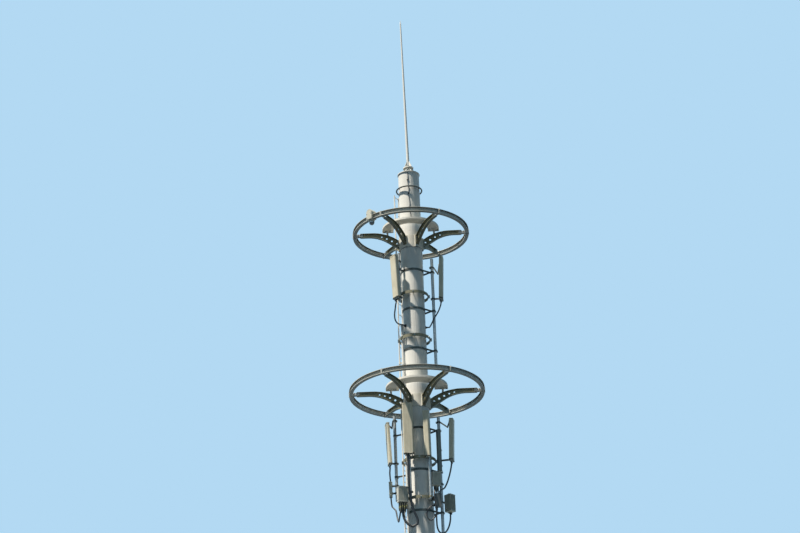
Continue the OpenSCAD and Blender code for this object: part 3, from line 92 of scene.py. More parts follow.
LADDER_HOLDS = (4.125, 6.375, 8.625, 10.875, 12.0, 13.5375, 15.8125, 18.0875, 20.3625, 21.5,
                23.595, 25.345, 26.76, 28.995, 31.2)
# The camera unit: side, height of its dome's middle below the ring, inside the ring's edge
CAMERA_SIDE, CAMERA_DROP, CAMERA_IN, DOME_R = 227.5, 0.1458, 0.045, 0.0660


def pole_r(z):
    """Outer radius of the pole at a height."""
    return POLE_FOOT_R - (POLE_FOOT_R - POLE_TOP_R) * z / POLE_H


def polar(r, side, z=0.0):
    """A point at a distance from the pole's axis, at an angle and a height."""
    return Vector((r * math.cos(math.radians(side)), r * math.sin(math.radians(side)), z))


def sideways(side):
    """The two level directions across a side."""
    return [polar(edge, side + 90) for edge in ENDS]


def shift(x=0.0, y=0.0, z=0.0):
    """The matrix that moves a shape."""
    return Matrix.Translation((x, y, z))


def facing(place, way, up=(0, 0, 1)):
    """The matrix that stands a shape on a place with its Z along a direction."""
    out = Vector(way).normalized()
    side = Vector(up).cross(out)
    side = side.normalized() if side.length > 1e-6 else Vector((1, 0, 0))
    return Matrix.Translation(place) @ Matrix((side, out.cross(side), out)).transposed().to_4x4()


def turned(side):
    """The matrix that turns a shape about the upright axis."""
    return Matrix.Rotation(math.radians(side), 4, "Z")


def on_slope(side, z, off):
    """The frame of what follows the pole's taper at a distance from its surface; X points outwards."""
    return turned(side) @ shift(pole_r(z) + off, 0, z) @ Matrix.Rotation(-math.radians(POLE_SLOPE), 4, "Y")


# Sides on which the pipes stand, then the place and diameter of each pipe
LEFT, UPPER_LEFT, FRONT_LEFT, FRONT_RIGHT = 157, 218, 236, 303
PIPES = {
    "right": (Vector((0.505, 0, 0)), PIPE_D),
    "left": (polar(0.636, LEFT), PIPE_D),
    "upper_left": (polar(0.4182, UPPER_LEFT), THIN_PIPE_D),
    "front_left": (polar(0.4365, FRONT_LEFT), THIN_PIPE_D),
    "front_right": (polar(0.4365, FRONT_RIGHT), THIN_PIPE_D),
}
# Antenna: pipe, distance of its back, height, side it faces, width, depth, sockets, socket with a cable
PANELS = {
    "upper_right_panel": ("right", 0.150, 28.555, 355, 0.255, 0.098, 4, 2),
    "upper_left_panel": ("upper_left", 0.055, 28.515, 212, 0.255, 0.098, 4, 2),
    "lower_left_panel": ("left", 0.113, 24.250, 192, 0.255, 0.0735, 4, 2),
    "front_left_panel": ("front_left", 0.060, 24.260, 266, 0.255, 0.098, 4, 2),
    "front_right_panel": ("front_right", 0.060, 24.180, 252, 0.150, 0.082, 2, None),
    "lower_right_panel": ("right", 0.240, 24.195, 350, 0.255, 0.098, 4, 2),
}
SLIM_AT, SLIM_FACE, SLIM_D = Vector((0.475, -0.104, 23.905)), 300, 0.070
# Radio unit: middle of its underside, side it faces, width, depth, height of the box, finish
RADIOS = {
    "left_radio": (Vector((-0.445, -0.345, 23.05)), 287, 0.25, 0.15, 0.39, "pale_powder_coat"),
    "small_radio": (PIPES["left"][0] + Vector((-0.15, 0, 23.435)), 180, 0.25, 0.08, 0.33, "grey_powder_coat"),
    "right_radio": (Vector((0.38, -0.228, 23.49)), 294, 0.20, 0.15, 0.34, "pale_powder_coat"),
    "corner_radio": (Vector((0.70, -0.01, 22.88)), 318, 0.18, 0.20, 0.43, "grey_powder_coat"),
}
SPLITTER_AT, SPLITTER_W, SPLITTER_D, SPLITTER_H = Vector((0.415, -0.300, 22.91)), 0.17, 0.09, 0.35
# Level brackets of the antennas: antenna, height above its lower end, half the spread of the seat's bolts
LEVEL_BRACKETS = (
    ("upper_right_panel", 0.028, 0.032), ("upper_left_panel", 0.038, 0.032),
    ("upper_left_panel", 1.040, 0.032), ("lower_left_panel", 0.028, 0.032),
    ("front_left_panel", 0.150, 0.032), ("front_left_panel", 1.050, 0.032),
    ("front_right_panel", 0.200, 0.020), ("front_right_panel", 1.060, 0.020),
    ("lower_right_panel", 0.028, 0.032),
)
# Level brackets of radio units on the right pipe: place across, height above the underside, half the spread
RADIO_BRACKETS = (("right_radio", 0.055, 0.120, 0.028), ("corner_radio", -0.055, 0.250, 0.020))
# The other level brackets: heights above the underside, half the spread
SLIM_RISES, SLIM_SPREAD = (0.190, 0.600), 0.024
LEFT_RADIO_RISE, LEFT_RADIO_SPREAD = 0.250, 0.028
SMALL_RADIO_RISES, SMALL_RADIO_SPREAD, SMALL_RADIO_BACK = (0.070, 0.260), 0.032, 0.040
SPLITTER_RISE, SPLITTER_SPREAD, SPLITTER_SEAT_Y = 0.180, 0.016, -0.015
# Tilt brackets: antenna, height of the seat plate above its lower end, drop from there to the grip
TILT_BRACKETS = (
    ("upper_right_panel", 0.960, 0.060), ("lower_left_panel", 1.035, -0.125),
    ("lower_right_panel", 1.035, 0.0),
)
PLATE_T, TILT_SPREAD = 0.0095, 0.034


def panel_frame(name):
    """The frame of an antenna: X across, Y to the front, Z along it from its lower end."""
    pipe, off, z, side = PANELS[name][:4]
    place = PIPES[pipe][0] + polar(off, side, z)
    return Matrix.Translation(place) @ turned(side - 90) @ Matrix.Rotation(-math.radians(PANEL_TILT), 4, "X")


def panel_back(name, rise):
    """The point on an antenna's back at a height above its lower end, on its middle line."""
    pipe, off, z, side = PANELS[name][:4]
    return PIPES[pipe][0] + polar(off + rise * math.tan(math.radians(PANEL_TILT)), side, z + rise)


def radio_frame(name):
    """The frame of a radio unit: X across, Y from its back to its front, Z up from its underside."""
    at, side, _, depth = RADIOS[name][:4]
    return Matrix.Translation(at) @ turned(side - 90) @ shift(0, -depth / 2, 0)


# Materials

RANGE = ("From Min", "From Max", "To Min", "To Max")
# Slopes, as the upright part of the normal, between which a mark by slope starts and is full: dust that also
# serves as painted shade on what faces up, painted shade on what faces down
DUST_AND_SHADE_ON_TOP, SHADE_BELOW = (0.3, 0.9), (-0.25, -0.85)
# Colour of the dust on what faces up; it is darker and wider than wear alone, as painted shade of the tops
# that the key lamp lights most
TOP_DUST_AND_SHADE = "#8a8677"


def linear(colour):
    """An sRGB hex colour as the linear values that the shader sockets take."""
    out = []
    for i in (1, 3, 5):
        c = int(colour[i : i + 2], 16) / 255
        out.append(c / 12.92 if c <= 0.04045 else ((c + 0.055) / 1.055) ** 2.4)
    return (*out, 1.0)


def add_node(tree, kind, settings=None, links=None):
    """Adds a node, sets its inputs and attributes, and links its inputs to sockets or nodes' results."""
    node = tree.nodes.new("ShaderNode" + kind)
    for key, value in (settings or {}).items():
        if key == RANGE:
            for name, end in zip(RANGE, value):
                node.inputs[name].default_value = end
        elif isinstance(key, int) or key in node.inputs:
            node.inputs[key].default_value = value
        else:
            setattr(node, key, value)
    for key, source in (links or {}).items():
        if isinstance(source, bpy.types.Node):
            # A colour mix has its result on its third output.
            source = source.outputs[2 if source.bl_idname == "ShaderNodeMix" else 0]
        tree.links.new(source, node.inputs[key])
    return node


def new_finish(name):
    """An empty material and the object's own coordinates in metres."""
    material = bpy.data.materials.new(name)
    material.use_nodes = True
    tree = material.node_tree
    tree.nodes.clear()
    FINISHES[name] = material
    return tree, add_node(tree, "TexCoord").outputs["Object"]


def finish_named(name):
    """A material that Mix finishes has made."""
    if name not in FINISHES:
        raise RuntimeError(f"there is no finish {name}: run Mix finishes first")
    return FINISHES[name]


def stain_where(tree, colour, stain, pattern, span, share):
    """Lays a stain on a colour where a pattern is strong; the span says where it starts and is full."""
    mask = add_node(tree, "MapRange", {RANGE: (*span, 0.0, share)}, {"Value": pattern})
    settings, links = {"data_type": "RGBA", 7: linear(stain)}, {0: mask}
    if isinstance(colour, str):
        settings[6] = linear(colour)
    else:
        links[6] = colour
    return add_node(tree, "Mix", settings, links)


def dust_and_shade_by_slope(tree, colour, stain, span, share):
    """Darkens a colour by slope: with dust that also serves as painted shade on what faces up, with painted
    shade on what faces down.
    """
    way = add_node(tree, "NewGeometry").outputs["Normal"]
    parts = add_node(tree, "SeparateXYZ", None, {"Vector": way})
    return stain_where(tree, colour, stain, parts.outputs["Z"], span, share)


def close_finish(tree, settings, colour, dull=None, bump=None):
    """Ends a material in one shader. The dull parts are a pattern, its span and the roughness at its ends;
    the bump is a pattern, its strength and its height."""
    links = {"Base Color": colour}
    if dull:
        links["Roughness"] = add_node(tree, "MapRange", {RANGE: dull[1:]}, {"Value": dull[0]})
    if bump:
        pattern, strength, depth = bump
        raised = {"Strength": strength, "Distance": depth}
        links["Normal"] = add_node(tree, "Bump", raised, {"Height": pattern})
    shader = add_node(tree, "BsdfPrincipled", settings, links)
    add_node(tree, "OutputMaterial", None, {"Surface": shader})


def chalked_paint(name, colour, dirt, rust, darkening, dirt_share, streak_share, under_shade_share, roughness):
    """Two-pack paint, rolled on steel: even and slightly glossy when new, here chalked by the sun,
    with rain streaks, dust in patches and a few rust specks where chips reach the steel;
    what faces up is darkened with dust and painted shade, what faces down with painted shade."""
    tree, place = new_finish(name)
    # Dust lies in patches of half a metre.
    patches = add_node(tree, "TexNoise", {"Scale": 2.2, "Detail": 5.0, "Roughness": 0.62}, {"Vector": place})
    patched = stain_where(tree, colour, dirt, patches, (0.42, 0.78), dirt_share)
    # Rain streaks are 30 mm wide and run down for a metre or more.
    squeeze = add_node(tree, "Mapping", {"Scale": (33.0, 33.0, 0.8)}, {"Vector": place})
    streaks = add_node(tree, "TexNoise", {"Scale": 1.0, "Detail": 4.0, "Roughness": 0.55},
                       {"Vector": squeeze})
    streaked = stain_where(tree, patched, dirt, streaks, (0.55, 0.75), streak_share)
    # Chips are 5 to 15 mm across and rare.
    chips = add_node(tree, "TexNoise", {"Scale": 60.0, "Detail": 2.0, "Roughness": 0.5}, {"Vector": place})
    where = add_node(tree, "TexNoise", {"Scale": 5.0, "Detail": 2.0}, {"Vector": place})
    both = add_node(tree, "Math", {"operation": "MULTIPLY"}, {0: chips, 1: where})
    chipped = stain_where(tree, streaked, rust, both, (0.425, 0.47), 0.6)
    # What faces up is darkened with dust that also serves as painted shade.
    dusty = dust_and_shade_by_slope(tree, chipped, TOP_DUST_AND_SHADE, DUST_AND_SHADE_ON_TOP, 0.85)
    # What faces down is darkened towards a dark colour: painted shade.
    darkened_colour = dust_and_shade_by_slope(tree, dusty, darkening, SHADE_BELOW, under_shade_share)
    # The roller's texture has a grain of about 3 mm.
    grain = add_node(tree, "TexNoise", {"Scale": 330.0, "Detail": 1.0}, {"Vector": place})
    close_finish(tree, {"IOR": 1.5, "Metallic": 0.0}, darkened_colour,
                 (patches, 0.3, 0.7, roughness - 0.06, roughness + 0.14), (grain, 0.08, 0.0005))


def dipped_zinc(name, bright, dull, stain, stain_share, metallic, roughness):
    """Hot-dip galvanised steel: zinc crystals of 10 to 25 mm, bright when new and matt grey with age,
    with white and brown stains where water stays."""
    tree, place = new_finish(name)
    spangle = add_node(tree, "TexVoronoi", {"Scale": 55.0, "Randomness": 1.0}, {"Vector": place})
    shade = add_node(tree, "SeparateColor", None, {"Color": spangle.outputs["Color"]})
    flakes = add_node(tree, "Mix", {"data_type": "RGBA", 6: linear(dull), 7: linear(bright)}, {0: shade})
    clouds = add_node(tree, "TexNoise", {"Scale": 4.0, "Detail": 5.0, "Roughness": 0.6}, {"Vector": place})
    stained = stain_where(tree, flakes, stain, clouds, (0.45, 0.75), stain_share)
    close_finish(tree, {"Metallic": metallic}, stained,
                 (shade.outputs[1], 0.0, 1.0, roughness - 0.08, roughness + 0.1), (clouds, 0.1, 0.0006))


def drawn_shell(name, colour, dust, dust_share, roughness):
    """Glass-fibre shell of an antenna, pultruded and matt: fine lines along its length,
    yellowed a little by the sun and dusty in patches."""
    tree, place = new_finish(name)
    clouds = add_node(tree, "TexNoise", {"Scale": 3.0, "Detail": 4.0, "Roughness": 0.6}, {"Vector": place})
    squeeze = add_node(tree, "Mapping", {"Scale": (60.0, 60.0, 1.2)}, {"Vector": place})
    lines = add_node(tree, "TexNoise", {"Scale": 1.0, "Detail": 3.0}, {"Vector": squeeze})
    both = add_node(tree, "Math", {"operation": "MULTIPLY"}, {0: clouds, 1: lines})
    clouded = stain_where(tree, colour, dust, both, (0.16, 0.38), dust_share)
    # What faces up is darkened with dust that also serves as painted shade.
    dusty = dust_and_shade_by_slope(tree, clouded, dust, DUST_AND_SHADE_ON_TOP, 0.8)
    # The shell's fibres stand out by a few hundredths of a millimetre, 8 mm apart.
    fibre = add_node(tree, "TexNoise", {"Scale": 2.0, "Detail": 2.0}, {"Vector": squeeze})
    close_finish(tree, {"IOR": 1.49, "Metallic": 0.0}, dusty,
                 (clouds, 0.3, 0.7, roughness - 0.05, roughness + 0.08), (fibre, 0.12, 0.0004))


def powder_coat(name, colour, dust, dust_share, roughness):
    """Polyester powder coat on die-cast aluminium: an even satin skin with a faint orange peel of 2 mm."""
    tree, place = new_finish(name)
    clouds = add_node(tree, "TexNoise", {"Scale": 6.0, "Detail": 4.0, "Roughness": 0.6}, {"Vector": place})
    clouded = stain_where(tree, colour, dust, clouds, (0.45, 0.75), dust_share)
    # What faces up is darkened with dust that also serves as painted shade.
    dusty = dust_and_shade_by_slope(tree, clouded, dust, DUST_AND_SHADE_ON_TOP, 0.7)
    peel = add_node(tree, "TexNoise", {"Scale": 480.0, "Detail": 1.0}, {"Vector": place})
    close_finish(tree, {"IOR": 1.5, "Metallic": 0.0}, dusty,
                 (clouds, 0.3, 0.7, roughness - 0.05, roughness + 0.1), (peel, 0.15, 0.0003))


def moulded_black(name, colour, dust, roughness):
    """Black polyethylene and rubber, extruded as cable jacket or moulded as caps and boots:
    smooth, half matt, greyed by dust."""
    tree, place = new_finish(name)
    clouds = add_node(tree, "TexNoise", {"Scale": 14.0, "Detail": 3.0}, {"Vector": place})
    clouded = stain_where(tree, colour, dust, clouds, (0.5, 0.8), 0.4)
    # What faces up is darkened with dust that also serves as painted shade.
    dusty = dust_and_shade_by_slope(tree, clouded, dust, DUST_AND_SHADE_ON_TOP, 0.6)
    close_finish(tree, {"IOR": 1.51, "Metallic": 0.0}, dusty, (clouds, 0.3, 0.7, roughness, roughness + 0.15))


def plated_metal(name, colour, tarnish, roughness):
    """Nickel-plated brass and stainless steel, turned or rolled: bright with fine marks 1 mm apart
    and a dull film in patches."""
    tree, place = new_finish(name)
    darkening = add_node(tree, "TexNoise", {"Scale": 30.0, "Detail": 4.0}, {"Vector": place})
    darkened_colour = stain_where(tree, colour, tarnish, darkening, (0.42, 0.7), 0.7)
    squeeze = add_node(tree, "Mapping", {"Scale": (60.0, 60.0, 1000.0)}, {"Vector": place})
    marks = add_node(tree, "TexNoise", {"Scale": 1.0, "Detail": 1.0}, {"Vector": squeeze})
    close_finish(tree, {"Metallic": 1.0}, darkened_colour,
                 (marks, 0.3, 0.7, roughness - 0.08, roughness + 0.12), (marks, 0.1, 0.0002))


def smoked_dome(name, colour, dust):
    """Smoked polycarbonate, blown to a dome: dark and glossy with a coat, a little dust dulls its gloss."""
    tree, place = new_finish(name)
    specks = add_node(tree, "TexNoise", {"Scale": 90.0, "Detail": 3.0}, {"Vector": place})
    dusty = stain_where(tree, colour, dust, specks, (0.5, 0.75), 0.25)
    close_finish(tree, {"IOR": 1.58, "Metallic": 0.0, "Coat Weight": 0.5, "Coat Roughness": 0.05}, dusty,
                 (specks, 0.4, 0.75, 0.08, 0.35))


def studio_floor(name, colour):
    """Plain matt studio floor with the faintest grain."""
    tree, place = new_finish(name)
    grain = add_node(tree, "TexNoise", {"Scale": 0.3, "Detail": 2.0}, {"Vector": place})
    tinted = stain_where(tree, colour, "#ffffff", grain, (0.0, 1.0), 0.06)
    close_finish(tree, {"Roughness": 0.9, "Specular IOR Level": 0.1}, tinted)


# Shapes


def add_round(bm, place, r_low, r_top, height, sides=12):
    """Adds a closed drum or cone that stands on a place."""
    made = bmesh.ops.create_cone(bm, cap_ends=True, segments=sides, radius1=r_low, radius2=r_top,
                                 depth=height, matrix=place @ shift(z=height / 2))
    return made["verts"]


def break_edges(bm, edges, width):
    """Chamfers edges, each once."""
    bmesh.ops.bevel(bm, geom=list(dict.fromkeys(edges)), offset=width, offset_type="OFFSET", segments=1,
                    profile=0.5, affect="EDGES", material=-1)


def add_block(bm, place, size, edge):
    """Adds a block that stands on a place, with its edges broken."""
    matrix = place @ shift(z=size[2] / 2) @ Matrix.Diagonal((*size, 1))
    verts = bmesh.ops.create_cube(bm, size=1, matrix=matrix)["verts"]
    break_edges(bm, [e for v in verts for e in v.link_edges], edge)


def spin_section(bm, corners, steps):
    """Adds a closed ring about the upright axis, spun from the radii and heights of its section's corners."""
    verts = [bm.verts.new((r, 0, z)) for r, z in corners]
    edges = [bm.edges.new(pair) for pair in zip(verts, verts[1:] + verts[:1])]
    bmesh.ops.spin(bm, geom=verts + edges, cent=(0, 0, 0), axis=(0, 0, 1), angle=math.tau, steps=steps,
                   use_merge=True)


def add_hoop(bm, place, r_in, r_out, height, sides):
    """Adds a flat ring that stands on a place."""
    first = len(bm.verts)
    spin_section(bm, ((r_in, 0), (r_out, 0), (r_out, height), (r_in, height)), sides)
    bm.verts.ensure_lookup_table()
    bmesh.ops.transform(bm, matrix=place, verts=bm.verts[first:])


def add_bead(bm, points, width, height, out):
    """Adds a weld bead with a six-sided section along a line on a surface that faces out."""
    ring = bmesh.ops.create_circle(bm, cap_ends=True, segments=6, radius=1.0)["verts"]
    start = facing(points[0], points[1] - points[0], out) @ Matrix.Diagonal((width / 2, height, 1, 1))
    bmesh.ops.transform(bm, matrix=start, verts=ring)
    face = next(f for f in ring[0].link_faces)
    for a, b in zip(points, points[1:]):
        made = bmesh.ops.extrude_face_region(bm, geom=[face])["geom"]
        face = next(g for g in made if isinstance(g, bmesh.types.BMFace))
        bmesh.ops.translate(bm, vec=b - a, verts=list(face.verts))


def add_copy(bm, node):
    """Adds a copy of a CAD node's mesh, merged."""
    bm.from_mesh(NODES[node].data)
    bmesh.ops.remove_doubles(bm, verts=bm.verts, dist=1e-5)


def cut_level(bm, level, clear_above):
    """Cuts a shape level and clears what lies above or below."""
    bmesh.ops.bisect_plane(bm, geom=[*bm.verts, *bm.edges, *bm.faces], plane_co=(0, 0, level),
                           plane_no=(0, 0, 1), clear_outer=clear_above, clear_inner=not clear_above)


def close_holes(bm):
    """Closes the holes that a cut has left."""
    bmesh.ops.holes_fill(bm, edges=[e for e in bm.edges if e.is_boundary])


def link_object(name, data):
    """Puts a mesh, a lamp or a camera into the scene."""
    thing = bpy.data.objects.new(name, data)
    bpy.context.scene.collection.objects.link(thing)
    return thing


def as_mesh(bm, name="repeated_shape"):
    """A finished shape as a mesh."""
    mesh = bpy.data.meshes.new(name)
    bm.to_mesh(mesh)
    bm.free()
    return mesh


def drums(*rows):
    """Drums and cones about one axis, as a mesh to repeat: foot, radii below and above, height, sides."""
    bm = bmesh.new()
    for foot, r_low, r_top, height, sides in rows:
        add_round(bm, shift(z=foot), r_low, r_top, height, sides)
    return as_mesh(bm)


def fastener(across, tip):
    """A washer, a chamfered hexagon and the end of the rod that stands out of it, as a mesh to repeat."""
    bm = bmesh.new()
    # Shares of the width across flats: washer, head, corners and thread of a usual steel fastener.
    washer, head, corner = across * 0.16, across * 0.55, across * 0.577
    add_round(bm, Matrix(), across * 0.64, across * 0.64, washer)
    hexagon = add_round(bm, shift(z=washer), corner, corner, head, 6)
    rim = [e for v in hexagon for e in v.link_edges if all(p.co.z > washer + head / 2 for p in e.verts)]
    break_edges(bm, rim, across * 0.06)
    if tip:
        add_round(bm, shift(z=washer + head), across * 0.31, across * 0.26, tip, 8)
    return as_mesh(bm)


def keep_piece(name, bm, finish, sharp=30):
    """Turns a finished shape into a piece of the tower."""
    bmesh.ops.recalc_face_normals(bm, faces=bm.faces)
    mesh = as_mesh(bm, name)
    mesh.materials.append(finish_named(finish))
    mesh.shade_smooth()
    mesh.set_sharp_from_angle(angle=math.radians(sharp))
    piece = link_object(name, mesh)
    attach(piece, "root")
    return piece


def keep_copies(name, finish, slot, *groups):
    """Makes one piece of shapes that repeat: each group is a mesh and its places."""
    bm = bmesh.new()
    for shape, places in groups:
        for place in places:
            first = len(bm.verts)
            bm.from_mesh(shape)
            bm.verts.ensure_lookup_table()
            bmesh.ops.transform(bm, matrix=place, verts=bm.verts[first:])
        bpy.data.meshes.remove(shape)
    keep_piece(name, bm, finish)


def keep_fasteners(name, across, tip, places, finish="bright_fastener_zinc"):
    """Makes one piece of like bolts or nuts at many places."""
    keep_copies(name, finish, "galvanised", (fastener(across, tip), places))


def show_with(node_names, finish):
    """Gives CAD nodes a finish and rounds the shading of their curved faces."""
    material = finish_named(finish)
    for name in node_names:
        piece = NODES[name]
        for slot in piece.material_slots:
            slot.material = material
        if not piece.material_slots:
            piece.data.materials.append(material)
        piece.data.shade_smooth()
        piece.data.set_sharp_from_angle(angle=math.radians(28))


# Sizes and colours that a user can change


def hex_colour(name, what, default):
    """A colour that a user can change."""
    return bpy.props.StringProperty(name=name, description=f"Colour of {what}, as sRGB hex", default=default)


def length(name, description, default):
    """A size in metres that a user can change."""
    return bpy.props.FloatProperty(name=name, description=description, default=default, unit="LENGTH")


def number(name, description, default):
    """A plain number that a user can change."""
    return bpy.props.FloatProperty(name=name, description=description, default=default)


def angle(name, description, degrees):
    """An angle that a user can change."""
    return bpy.props.FloatProperty(name=name, description=description, default=math.radians(degrees),
                                   subtype="ANGLE")


class TowerFinish(bpy.types.PropertyGroup):
    """Colours of the tower's finishes."""

    pole_colour: hex_colour("Pole paint", "the paint on the pole", "#f2f1ed")
    frame_colour: hex_colour("Frame paint", "the paint on rings and hubs", "#eeece3")
    # The arms' paint is the frame's paint set much darker: painted shade of the arms under the platforms.
    arm_colour_with_painted_shade: hex_colour("Arm paint", "the paint on the arms", "#8c886c")
    # The wide hoops' paint is the frame's paint set darker: painted shade of their outer faces.
    hoop_colour_with_painted_shade: hex_colour("Hoop paint", "the paint on the wide hoops", "#8b8770")
    deck_colour: hex_colour("Platform paint", "the paint on the platforms", "#f0eee8")
    zinc_colour: hex_colour("Zinc", "bright galvanised steel", "#b9bcbc")
    dark_zinc_colour: hex_colour("Aged zinc", "weathered galvanised steel", "#565b55")
    shell_colour: hex_colour("Antenna shell", "the antenna shells", "#e2dcc6")
    slate_colour: hex_colour("Slim antenna shell", "the slim antenna", "#79827f")
    radio_colour: hex_colour("Radio units", "the pale radio units", "#d3d2c6")
    grey_radio_colour: hex_colour("Grey radio units", "the grey radio units", "#b0b3a6")
    dark_radio_colour: hex_colour("Splitter box", "the splitter box", "#565b59")
    cable_colour: hex_colour("Cables", "the cable jackets", "#101214")


class TowerFittings(bpy.types.PropertyGroup):
    """Sizes of the fittings."""

    anchor_d: length("Anchor rod", "Diameter of the anchor rods", 0.042)
    frame_bolt: length("Frame bolt", "Width across flats of the bolts of rings, arms and hoops", 0.030)
    grip_bolt: length("Grip bolt", "Width across flats of the bolts of clamps and brackets", 0.019)
    screw: length("Screw", "Width across flats of the screws on boxes and covers", 0.013)
    bead_w: length("Weld bead", "Width of the long welds on the pole", 0.014)
    tread_pitch: length("Tread pitch", "Distance between the treads on the platforms", 0.060)


class TowerStage(bpy.types.PropertyGroup):
    """Camera, floor and lamps."""

    camera_distance: length("Camera distance", "Distance of the camera in front of the pole", 60.0)
    camera_height: length("Camera height", "Height of the camera above the ground", 1.6)
    camera_pitch: angle("Camera pitch", "Angle by which the camera looks up", 24.9612)
    camera_yaw: angle("Camera yaw", "Angle by which the camera looks to the right", -0.2923)
    camera_roll: angle("Camera roll", "Angle by which the camera is tipped", 2.1072)
    camera_lens: number("Lens", "Focal length in millimetres, 36 mm sensor", 117.0)
    key_side: angle("Key side", "Angle of the key lamp from the camera's side towards the left", 61)
    key_height: angle("Key height", "Angle of the key lamp above the level", 68)
    key_spread: angle("Key spread", "Angle that the key lamp fills, which softens its shadows", 1.5)
    key_strength: number("Key strength", "Strength of the key lamp", 8.0)
    key_colour: hex_colour("Key light", "the key lamp", "#fff6e6")
    sky_strength: number("Fill above", "Strength of soft light from above", 0.42)
    ground_strength: number("Fill below", "Strength of soft light from below", 0.08)
    fill_colour: hex_colour("Fill light", "the soft light", "#aad2e8")
    floor_radius: length("Floor radius", "Radius of the floor, which takes the tower's whole shadow", 17.0)
    floor_colour: hex_colour("Floor", "the floor", "#8b8f91")
    backdrop_colour: hex_colour("Backdrop", "the plain backdrop", "#b3d9f3")


# Operators


class TOWER_OT_mix_finishes(bpy.types.Operator):
    """Make every material of the tower"""

    bl_idname = "tower.mix_finishes"
    bl_label = "Mix finishes"

    def execute(self, context):
        look = context.scene.tower_finish
        # Colour, dirt, rust, painted shade below; shares of dirt, streaks and painted shade; roughness
        chalked_paint("sun_chalked_pole_paint", look.pole_colour, "#b3b0a4", "#7a4a2c", "#8b8b78",
                      0.25, 0.25, 0.35, 0.42)
        chalked_paint("weathered_frame_paint", look.frame_colour, "#858170", "#6e4226", "#403e2b",
                      0.40, 0.30, 0.85, 0.48)
        # The arms' darker colour is painted shade of the arms under the platforms.
        chalked_paint("weathered_arm_paint_with_painted_shade", look.arm_colour_with_painted_shade, "#5b5846", "#6e4226", "#3a3926",
                      0.50, 0.35, 0.85, 0.5)
        # The hoops' darker colour is painted shade of their outer faces.
        chalked_paint("weathered_hoop_paint_with_painted_shade", look.hoop_colour_with_painted_shade, "#5b5846", "#6e4226", "#45432f",
                      0.50, 0.35, 0.7, 0.5)
        chalked_paint("trodden_deck_paint", look.deck_colour, "#8b8671", "#6e4226", "#a19d8a",
                      0.35, 0.20, 0.2, 0.50)
        # Bright and dull flakes, stain and its share, metallic, roughness
        dipped_zinc("hot_dip_galvanised_steel", look.zinc_colour, "#8f9494", "#c9cac4", 0.3, 0.5, 0.5)
        dipped_zinc("aged_galvanised_steel", look.dark_zinc_colour, "#3d4242", "#4d3b2c", 0.3, 0.35, 0.6)
        dipped_zinc("bright_fastener_zinc", "#a6a9a6", "#7b7f7c", "#5e4630", 0.45, 0.7, 0.42)
        # Colour, dust and its share, roughness
        drawn_shell("drawn_antenna_shell", look.shell_colour, "#a39c84", 0.45, 0.5)
        drawn_shell("slate_antenna_shell", look.slate_colour, "#7b8284", 0.3, 0.45)
        drawn_shell("moulded_end_cap", "#5a584c", "#7c786a", 0.4, 0.5)
        drawn_shell("yellow_green_pvc_tape", "#a9a65a", "#7d7a66", 0.4, 0.45)
        powder_coat("pale_powder_coat", look.radio_colour, "#98968a", 0.4, 0.45)
        powder_coat("grey_powder_coat", look.grey_radio_colour, "#8d8e84", 0.4, 0.45)
        powder_coat("dark_powder_coat", look.dark_radio_colour, "#7a7c78", 0.35, 0.45)
        moulded_black("black_cable_jacket", look.cable_colour, "#35383a", 0.42)
        moulded_black("black_moulded_rubber", "#1e2020", "#55554f", 0.55)
        plated_metal("nickel_plated_brass", "#c9c2b0", "#8d8468", 0.3)
        plated_metal("rolled_stainless_band", "#b7b9ba", "#8a8a84", 0.34)
        smoked_dome("smoked_polycarbonate", "#14171a", "#6b6c68")
        return {"FINISHED"}


class TOWER_OT_finish_solids(bpy.types.Operator):
    """Give every CAD solid its finish"""

    bl_idname = "tower.finish_solids"
    bl_label = "Finish solids"

    def execute(self, context):
        groups = {
            "sun_chalked_pole_paint": (
                "base_plate", "pole_foot", "pole_lower", "pole_middle", "pole_upper", "pole_top",
                "hand_hole_cover", "pole_cap", "cable_conduit", "lightning_rod", "conduit_clips",
                "ladder_low", "ladder_mid", "ladder_high", "ladder_brackets"),
            "weathered_frame_paint": ("upper_ring", "lower_ring", "upper_hub", "lower_hub"),
            "weathered_arm_paint_with_painted_shade": ("upper_arms", "lower_arms"),
            "weathered_hoop_paint_with_painted_shade": ("upper_hoops", "lower_hoops"),
            "trodden_deck_paint": ("upper_deck", "lower_deck"),
            "hot_dip_galvanised_steel": (
                "upper_right_pipe", "upper_left_pipe", "lower_right_pipe", "lower_left_pipe", "front_pipes"),
            "aged_galvanised_steel": (
                "top_hoop", "upper_clamps", "lower_clamps", "panel_brackets", "radio_brackets"),
            "drawn_antenna_shell": tuple(PANELS),
            "slate_antenna_shell": ("slim_panel",),
            "pale_powder_coat": ("left_radio", "right_radio", "ring_camera"),
            "grey_powder_coat": ("corner_radio", "small_radio"),
            "dark_powder_coat": ("splitter_box",),
            "black_cable_jacket": ("upper_cables", "lower_cables"),
            "black_moulded_rubber": ("cable_ports",),
        }
        for finish, names in groups.items():
            show_with(names, finish)
        missing = set(NODES).difference(*groups.values())
        if missing:
            raise RuntimeError("no finish for " + ", ".join(sorted(missing)))
        return {"FINISHED"}


